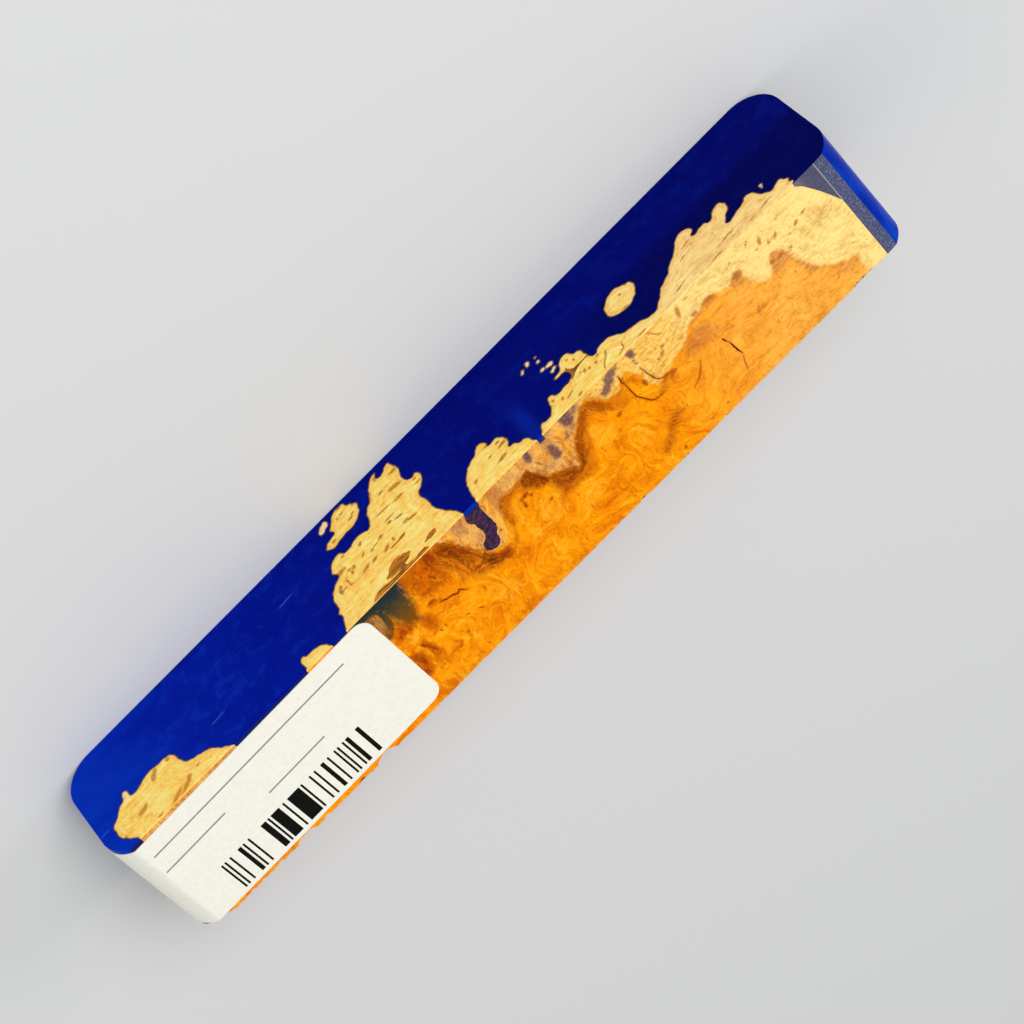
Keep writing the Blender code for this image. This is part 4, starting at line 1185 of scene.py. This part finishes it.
def burl_finish(burl):
    """Mallee burl: cream at its lobes and along its grown side, orange and curled within."""
    f = Finish("mallee burl")
    at = f.place()
    x, y, z = f.parts(at)
    on_front = f.step(y, -9.60, -9.70)
    on_top = f.step(z, 19.42, 19.48)
    on_back = f.step(y, 9.5, 9.62)

    # Streaks and threads follow the lines where the flow is level, and marbling breaks them up
    mottle = f.noise(at, 1.9, 4.0, 0.65)
    fine = f.noise(at, 5.5, 2.0, 0.6)
    meander = f.noise(at, 0.5, 2.0)
    flow = f.mark("flow") + (mottle - 0.5) * 0.6 + (meander - 0.5) * 2.2

    def along_flow(rate, drift, offset, detail, roughness):
        """Noise whose streaks run where the flow is level."""
        return f.noise(f.joined(flow * rate, x * drift, (y + z) * drift + offset), 1.0, detail, roughness)

    streaks = along_flow(1.5, 0.2, 0.0, 4.0, 0.62)
    threads = along_flow(3.6, 0.35, 5.0, 3.0, 0.6)
    patches = f.noise(f.bent(at, 0.22, 5.0, 2.0), 0.26, 4.0, 0.58)
    marbling = f.noise(f.bent(at, 0.42, 3.4, 2.0), 0.5, 5.0, 0.62)
    flames = f.squeezed(f.bent(at, 0.45, 1.8), (1.9, 0.5, 0.8), 1.0, 4.0, 0.65)
    grain = f.squeezed(f.bent(at, 0.4, 1.4), (0.5, 2.6, 2.6), 1.1, 4.0, 0.66)
    fiery = flames * 0.5 + threads * 0.5
    fierier = flames * 0.6 + threads * 0.4

    # Heartwood, paler towards -X, with darker wisps, smudges and small pores
    inward = f.step(x, -46, -24)
    figure = streaks * 0.40 + patches * 0.26 + threads * 0.18 + mottle * 0.16
    straight = grain * 0.28 + streaks * 0.28 + threads * 0.12 + patches * 0.18 + mottle * 0.14
    pale_heart = f.ramp(straight, [
        (0.38, 206, 120, 34), (0.44, 230, 146, 44), (0.49, 244, 165, 57),
        (0.54, 249, 176, 68), (0.61, 254, 191, 88),
    ])
    rich_heart = f.ramp(figure, [
        (0.36, 200, 90, 2), (0.42, 224, 115, 2), (0.46, 238, 134, 3),
        (0.51, 248, 148, 4), (0.56, 253, 163, 10), (0.64, 255, 186, 46),
    ])
    heart = f.blend(inward, pale_heart, rich_heart)
    wisps = f.step((streaks - 0.46).size(), 0.020, 0.004) * f.step(marbling, 0.48, 0.58)
    heart = f.blend(wisps * (0.25 + 0.25 * inward), heart, f.blend(inward, tone(200, 122, 40), tone(180, 80, 4)))
    smudges = f.step(marbling * 0.6 + flames * 0.4, 0.55, 0.66)
    heart = f.blend(smudges * 0.35, heart, f.blend(inward, tone(220, 144, 62), tone(212, 104, 4)))
    pores = f.step(along_flow(2.4, 1.1, 3.0, 2.0, 0.6), 0.70, 0.78)
    heart = f.blend(pores * 0.3, heart, f.blend(inward, tone(196, 120, 48), tone(172, 78, 8)))
    golden = f.step(f.mark("golden") + (streaks - 0.5) * 2.0 + (mottle - 0.5) * 1.0, 0.15, 1.0)
    gold = f.blend(f.step(threads, 0.42, 0.56), tone(250, 158, 16), tone(255, 184, 44))
    heart = f.blend(golden * 0.62, heart, gold)

    # Redder and browner towards the lobes and bays
    ragged = (flames - 0.5) * 2.2 + (threads - 0.5) * 0.9 + (mottle - 0.5) * 0.6
    tawny = f.step(f.mark("tawny") + ragged, 0.10, 1.05)
    brown_right = f.blend(f.step(fiery, 0.44, 0.56), tone(136, 58, 5), tone(220, 120, 10))
    brown_left = f.blend(f.step(grain, 0.40, 0.62), tone(198, 122, 56), tone(230, 158, 82))
    heart = f.blend(tawny * 0.94, heart, f.blend(inward, brown_left, brown_right))
    ruddy = f.step(f.mark("ruddy") + ragged * 1.2, 0.15, 1.05)
    red = f.blend(f.step(fierier, 0.45, 0.58), tone(150, 50, 1), tone(212, 100, 4))
    heart = f.blend(ruddy * 0.9, heart, red)
    umber = f.step(f.mark("umber") + ragged, 0.20, 1.05)
    dark_right = f.blend(f.step(fiery, 0.43, 0.57), tone(92, 34, 4), tone(176, 84, 6))
    dark_left = f.blend(f.step(mottle, 0.40, 0.62), tone(144, 88, 50), tone(190, 122, 66))
    heart = f.blend(umber * 0.98, heart, f.blend(inward, dark_left, dark_right))

    # Sapwood: cream towards -X, tan and streaked across in the bays
    sap_depth = f.mark("sapwood") + (f.noise(at, 1.0, 4.0, 0.6) - 0.5) * 1.1
    rings = f.noise(f.joined(sap_depth * 1.5, x * 0.22, y * 0.22), 1.0, 4.0, 0.65)
    tufts = grain * 0.35 + rings * 0.30 + patches * 0.15 + mottle * 0.20
    sap_left = f.ramp(tufts, [
        (0.37, 204, 152, 82), (0.44, 230, 188, 106), (0.50, 247, 211, 125),
        (0.59, 254, 228, 146),
    ])
    sap_middle = f.ramp(tufts, [
        (0.37, 190, 116, 36), (0.44, 224, 160, 62), (0.50, 244, 191, 89),
        (0.59, 254, 214, 120),
    ])
    clouded = patches * 0.28 + flames * 0.44 + mottle * 0.28
    sap_bays = f.ramp(clouded, [
        (0.36, 146, 82, 38), (0.43, 188, 120, 58), (0.50, 220, 154, 76),
        (0.60, 248, 189, 96),
    ])
    sap_bays = f.blend(ruddy * 0.6, sap_bays, tone(190, 110, 46))
    yellow = f.blend(f.step(fierier, 0.43, 0.56), tone(216, 130, 32), tone(252, 180, 60))
    sap_bays = f.blend(golden * 0.85, sap_bays, yellow)
    sap = f.blend(f.step(x, -37, -30), sap_left, sap_middle)
    sap = f.blend(f.step(x, -22, -16), sap, sap_bays)
    dashes = f.step(f.squeezed(f.bent(at, 0.5, 1.0), (0.6, 1.4, 1.4), 1.1), 0.68, 0.76)
    sap = f.blend(dashes * 0.35, sap, tone(206, 138, 66))
    soft_edge = 0.16 + 0.26 * f.step(x, -30, -44)
    wood = f.blend(f.step(sap_depth / soft_edge, -1.0, 1.0), heart, sap)
    rim = f.step(sap_depth.size(), 0.25, 0.05) * f.step(x, -30, -24)
    wood = f.blend(rim * 0.25, wood, tone(140, 68, 18))

    # Resin soaked into the wood, smoke, and brown flecks
    speckled = (mottle - 0.5) * 1.8 + (fine - 0.5) * 0.9
    stained = f.mark("stains")
    stain = f.step(stained + speckled + (flames - 0.5) * 0.8, 0.22, 1.05) * f.step(stained, 0.0, 0.3)
    plum = f.blend(f.step(fine * 0.4 + mottle * 0.6, 0.42, 0.62), tone(68, 40, 56), tone(142, 98, 92))
    wood = f.blend(stain * 0.95, wood, plum)
    smoked = f.mark("smoke")
    smoke = f.step(smoked + ragged * 0.45, 0.10, 0.85) * f.step(smoked, 0.0, 0.25)
    sooty = f.ramp(f.step(y + (mottle - 0.5) * 2.0 + (flames - 0.5) * 5.0, -2.4, -9.8), [
        (0.0, 128, 72, 12), (0.30, 108, 72, 24), (0.62, 78, 63, 36), (0.85, 52, 54, 43),
        (1.0, 33, 47, 50),
    ])
    wood = f.blend(smoke, wood, f.blend(f.step(smoke, 0.25, 0.85), tone(132, 78, 24), sooty))
    flecks = f.step(f.mark("flecks") + (mottle - 0.5) * 1.5 + (fine - 0.5) * 0.6, -0.30, 0.45)
    fleck_tone = f.blend(f.step(sap_depth, -0.4, 0.2), tone(146, 50, 4), tone(164, 94, 44))
    fleck_tone = f.blend(f.step(x, -26, -34), fleck_tone, tone(184, 106, 42))
    wood = f.blend(flecks * 0.82, wood, fleck_tone)

    halo = f.step(f.mark("beside_cracks") + (fine - 0.5) * 1.2 + (mottle - 0.5) * 1.2, 0.25, 1.0)
    wood = f.blend(halo * (0.3 + 0.3 * inward), wood, f.blend(inward, tone(196, 112, 40), tone(166, 68, 6)))

    # The front: pale wood with long streaks, brown marks and pockets, and a dark rim against the resin
    depth = f.mark("edge_depth")
    long_streaks = f.squeezed(f.bent(at, 0.3, 1.2), (0.4, 1.0, 2.4), 0.9, 5.0, 0.65)
    hems = f.noise(f.joined(depth * 1.6 + mottle, x * 0.3, z * 0.3), 1.0, 3.0, 0.6)
    face_grain = long_streaks * 0.36 + hems * 0.28 + mottle * 0.21 + threads * 0.15
    pale_right = f.ramp(face_grain, [
        (0.37, 212, 148, 54), (0.44, 237, 182, 80),
        (0.50, 247, 200, 100), (0.60, 255, 222, 134),
    ], FRONT_LIGHT)
    pale_left = f.ramp(face_grain, [
        (0.37, 196, 146, 76), (0.44, 225, 179, 105),
        (0.50, 237, 197, 122), (0.60, 250, 214, 142),
    ], FRONT_LIGHT)
    pale = f.blend(f.step(x, -22, -38), pale_right, pale_left)
    specks = f.step(f.squeezed(f.bent(at, 0.5, 0.5), (0.8, 1.0, 2.0), 1.1), 0.70, 0.78)
    marks = f.step(f.mark("front_marks") + (mottle - 0.5) * 1.5, -0.40, 0.25)
    mark_tone = f.blend(f.step(fine, 0.42, 0.58), front_tone(142, 78, 12), front_tone(198, 124, 36))
    mark_tone = f.blend(f.step(x, 40, 48) * 0.5, mark_tone, front_tone(206, 132, 48))
    pale = f.blend(marks.most(specks * 0.5) * 0.85, pale, mark_tone)
    pale = f.blend(f.mark("bleached") * 0.7, pale, front_tone(246, 218, 190))
    pocket = f.mark("pockets")
    inside_pocket = f.step(pocket + (grain - 0.5) * 0.35, 0.35, 0.6)
    layers = f.noise(f.joined(x * 0.55, y, z * 3.2), 1.0, 4.0, 0.65)
    bark = f.blend(f.step(layers, 0.40, 0.62), front_tone(114, 52, 3), front_tone(196, 112, 22))
    bark = f.blend(f.step(x, -10, -15) * 0.6, bark, front_tone(62, 32, 14))
    pale = f.blend(inside_pocket * 0.94, pale, bark)
    pale = f.blend(f.step(depth, 0.9, 0.15) * 0.30, pale, front_tone(218, 154, 74))
    pale = f.blend(f.step(depth, 0.24, 0.08) * 0.9, pale, front_tone(56, 30, 20))
    wood = f.blend(on_front, wood, pale)

    # Cracks are reddish within, a painted highlight runs broken along the top edge at the back, and the sawn back is
    # duller
    in_crack = (1 - on_top) * f.step(z, 18.2, 18.6) * f.step(y, -9.6, -9.5) * f.step(y, 8.4, 8.0)
    wood = f.blend(in_crack * 0.98, wood, tone(140, 40, 4))
    # Painted highlight: a thin pale line along the top edge at the back, broken up by noise
    arris_highlight = f.step(y + (mottle - 0.5) * 0.5, 9.42, 9.56) * f.step(z, 19.1, 19.3)
    torn = f.step(f.squeezed(at, (0.9, 0.4, 0.4), 1.0, 3.0, 0.7), 0.42, 0.56)
    wood = f.blend(arris_highlight * torn * 0.25, wood, tone(255, 200, 110))
    sawn = f.squeezed(at, (2.4, 0.1, 0.35), 1.0, 3.0, 0.6)
    wood = f.blend(on_back * f.step(sawn, 0.35, 0.75) * 0.4, wood, tone(190, 112, 40))

    roughness = 0.46 - on_front * 0.20 + on_back * 0.22 + (grain - 0.5) * 0.12
    relief = grain * 0.6 + sawn * on_back * 2.5 - marks * on_front * 0.6
    f.dress(
        burl, Base_Color=wood, Roughness=roughness, Normal=f.bump(relief, 0.5), Specular_IOR_Level=0.03,
    )


def resin_finish(resin):
    """Cast resin: deep blue and glossy where the mould or the polish left it, grey and dull where it was sanded,
    with a painted sheen in the top's grey and painted light on the rounded end.
    """
    f = Finish("blue resin")
    at = f.place()
    x, y, z = f.parts(at)
    along = (x + END / MM) / (2 * END / MM)
    clouds = f.squeezed(f.bent(at, 0.07, 6.0), (0.07, 0.2, 0.24), 1.0, 3.0)
    blue = f.ramp(along + (clouds - 0.5) * 0.24, [
        (0.0, 0, 5, 90), (0.22, 0, 6, 98),
        (0.42, 0, 7, 102), (0.60, 0, 10, 114),
        (0.75, 0, 17, 130), (0.88, 0, 24, 143),
        (1.0, 1, 44, 168),
    ], FRONT_LIGHT)
    plume = f.step((x + 11.4).size(), 2.0, 0.2) * f.step(z, 8.0, 15.0)
    blue = f.blend(plume * 0.75, blue, front_tone(2, 28, 134))
    blots = f.noise(f.bent(at, 0.3, 1.5), 0.45, 4.0, 0.6)
    blue = f.blend(f.step(blots, 0.48, 0.70) * (0.12 + 0.3 * f.step(x, 15, 35)), blue, front_tone(6, 44, 168))
    blue = f.blend(f.step(z, 7.5, 10.5) * f.step(x, -14.0, -34.0) * 0.6, blue, front_tone(0, 2, 58))
    for start, stop, up in ((24.9, 27.3, 6.5), (41.1, 43.4, 13.5), (61.8, 63.2, 13.9)):
        scratch = f.step((z - up - (x - start) * 0.1).size(), 0.11, 0.03)
        scratch = scratch * f.within(x, start - 0.3, stop + 0.3, 0.7)
        blue = f.blend(scratch * 0.5, blue, front_tone(84, 104, 205))

    # Painted light: the rounded end is coloured a brighter blue, as if lit from the side
    painted_end_light = f.step(x, -60.9, -61.35) * f.step(y, -9.74, -9.66)
    streak = f.squeezed(at, (0.6, 0.22, 0.6))
    end_blue = f.blend(f.step(streak, 0.34, 0.76), tone(0, 38, 152), tone(4, 62, 182))
    blue = f.blend(painted_end_light * f.step(z, 6.0, 14.0), blue, end_blue)

    # Where it was sanded: the top's grey and purple are partly sanding haze and partly a painted sheen
    in_bays = f.step(x, -14.0, -13.0) * f.step(x, 4.2, 3.6)
    wide_lip = f.step(y + 0.22 * (x - 1.2) ** 2.0, -9.0, -9.2)
    small_lip = f.step(y + 0.8 * (x + 11.2) ** 2.0, -9.2, -9.4)
    lip = wide_lip.most(small_lip) * in_bays
    on_top = f.step(z, 19.33, 19.37) * f.step(y, -9.68, -9.60) * (1 - lip)
    fine = f.noise(at, 5.0, 3.0, 0.7)
    sanded_haze_and_sheen = f.blend(f.step(fine, 0.35, 0.7), tone(72, 72, 94), tone(94, 94, 114))
    band = f.step(x, -59.4, -59.7)
    speckle = f.step(f.noise(at, 4.0, 2.0, 0.8), 0.46, 0.66)
    sanded_haze_and_sheen = f.blend(band, sanded_haze_and_sheen, f.blend(speckle, tone(70, 76, 106), tone(114, 118, 140)))
    rosy = f.step(x, -57.6, -56.4) * f.step(x, -30.0, -40.0)
    sanded_haze_and_sheen = f.blend(rosy * 0.45, sanded_haze_and_sheen, tone(140, 118, 118))
    mottle = f.noise(at, 1.6, 4.0, 0.7)
    # Greyish purple: the blue under a painted sheen
    purple = f.blend(f.step(mottle, 0.40, 0.64), tone(50, 31, 56), tone(78, 53, 73))
    sanded_haze_and_sheen = f.blend(f.step(x, -30, -20), sanded_haze_and_sheen, purple)
    sanded_haze_and_sheen = f.blend(f.step(x, 20, 24), sanded_haze_and_sheen, tone(26, 32, 84))
    crease = f.step((x - SANDED_START / MM).size(), 0.09, 0.03) * f.step(y, -1.8, -2.2)
    sanded_haze_and_sheen = f.blend(crease * 0.8, sanded_haze_and_sheen, tone(176, 168, 166))
    on_back = f.step(y, 9.6, 9.7)
    blue = f.blend(on_back * 0.6, blue, tone(58, 70, 128))
    colour = f.blend(on_top, blue, sanded_haze_and_sheen)
    colour = f.blend(lip * f.step(z, 19.33, 19.37), colour, tone(4, 44, 150))
    dull = on_top.most(on_back * 0.8)
    f.dress(
        resin, Base_Color=colour, Roughness=0.10 + dull * 0.42 + (fine - 0.5) * dull * 0.1,
        Normal=f.bump(fine * dull, 0.5), Specular_IOR_Level=0.012,
    )


def label_finish(label):
    """White paper, printed with plain ruled lines and bars."""
    f = Finish("label paper")
    flat = f.node("ShaderNodeUVMap", {"uv_map": "sheet"}).outputs[0]
    u, v, _ = f.parts(f.vector("MULTIPLY", flat, (LABEL_LENGTH / MM, LABEL_WIDTH / MM, 1.0)))
    at = f.place()
    fibres = f.noise(at, 1.6, 4.0, 0.7)
    paper = f.blend(f.step(fibres, 0.3, 0.7), tone(240, 238, 225), tone(234, 231, 217))
    for start, stop, line in RULED_LINES:
        stroke = f.step((v - line).size(), 0.15, 0.10) * f.within(u, start - 0.04, stop, 0.04)
        paper = f.blend(stroke * 0.75, paper, tone(70, 70, 70))
    count = (u / BAR_STEP).floor()
    picked = Value(f, f.node("ShaderNodeTexWhiteNoise", {"noise_dimensions": "1D"}, {"W": count}).outputs[0])
    bars = picked.above(BAR_SHARE) * f.within(u, *BARS_ALONG, 0.04) * f.within(v, *BARS_ACROSS, 0.05)
    paper = f.blend(bars, paper, tone(16, 16, 12))
    f.dress(
        label, Base_Color=paper, Roughness=0.5, Normal=f.bump(fibres, 0.4), Specular_IOR_Level=0.05,
    )


def stage():
    """A pale floor, soft lights and the camera."""
    bm = bmesh.new()
    bmesh.ops.create_grid(bm, x_segments=1, y_segments=1, size=2.0)
    floor = object_from("floor", bm, bpy.context.scene.collection)
    floor.location.z = -FLOOR_DROP
    f = Finish("studio floor")
    f.dress(floor, Base_Color=(0.64, 0.64, 0.635, 1.0), Roughness=0.9, Specular_IOR_Level=0.1)

    world = bpy.data.worlds.new("studio")
    bpy.context.scene.world = world
    world.use_nodes = True
    background = world.node_tree.nodes["Background"]
    background.inputs["Color"].default_value = (0.95, 0.97, 1.0, 1.0)
    background.inputs["Strength"].default_value = 0.46

    for name, place, size, power in SOFTBOXES:
        light = bpy.data.lights.new(name, "AREA")
        light.shape = "SQUARE"
        light.size = size
        light.energy = power
        lamp = add_object(name, light, bpy.context.scene.collection)
        lamp.location = place
        lamp.rotation_euler = (-Vector(place)).to_track_quat("-Z", "Y").to_euler()

    data = bpy.data.cameras.new("camera")
    data.sensor_width = 36.0
    data.lens = LENS
    data.clip_start = 0.01
    camera = add_object("camera", data, bpy.context.scene.collection)
    camera.location = CAMERA_PLACE
    camera.rotation_euler = [radians(angle) for angle in CAMERA_TURN]
    bpy.context.scene.camera = camera
    bpy.context.scene.view_settings.view_transform = "Standard"


def build():
    """Makes the three pieces and their finishes."""
    pieces = new_collection("pen_blank")
    cutters = new_collection("cutters")
    form = burl_form(cutters)
    bites = edge_bites(cutters)

    burl = object_from("mallee_burl", fine_bar(), pieces)
    boolean(burl, form, "INTERSECT")
    boolean(burl, bites, "DIFFERENCE")
    boolean(burl, cracks(cutters), "DIFFERENCE")
    settle(burl)
    saw_back(burl.data)
    depths = sapwood_depths(burl.data)
    store(burl.data, "sapwood", depths)
    mark_flow(burl.data, depths)
    for name, areas in (("umber", UMBER), ("tawny", TAWNY), ("ruddy", RUDDY), ("golden", GOLDEN),
                        ("stains", STAINS), ("smoke", SMOKE)):
        mark_areas(burl.data, name, areas)
    for name, areas in (("pockets", POCKETS), ("bleached", BLEACHED)):
        mark_areas(burl.data, name, areas, upright=True)
    mark_spots(burl.data, "flecks", FLECKS)
    mark_spots(burl.data, "front_marks", FRONT_MARKS, upright=True)
    mark_edge_depth(burl.data)
    mark_beside_cracks(burl.data)
    smooth(burl.data)
    burl_finish(burl)

    resin = object_from("blue_resin", cast_bar(), pieces)
    boolean(resin, form, "DIFFERENCE")
    boolean(resin, bites, "DIFFERENCE")
    settle(resin)
    smooth(resin.data)
    resin_finish(resin)

    label = settle(paper_label(pieces))
    smooth(label.data, LABEL_CREASE)
    label_finish(label)

    for piece, node in ((burl, "burl"), (resin, "resin"), (label, "label")):
        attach(piece, "root")
        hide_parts(node)
    for cutter in list(cutters.objects):
        bpy.data.objects.remove(cutter, do_unlink=True)
    bpy.data.collections.remove(cutters)


build()
stage()
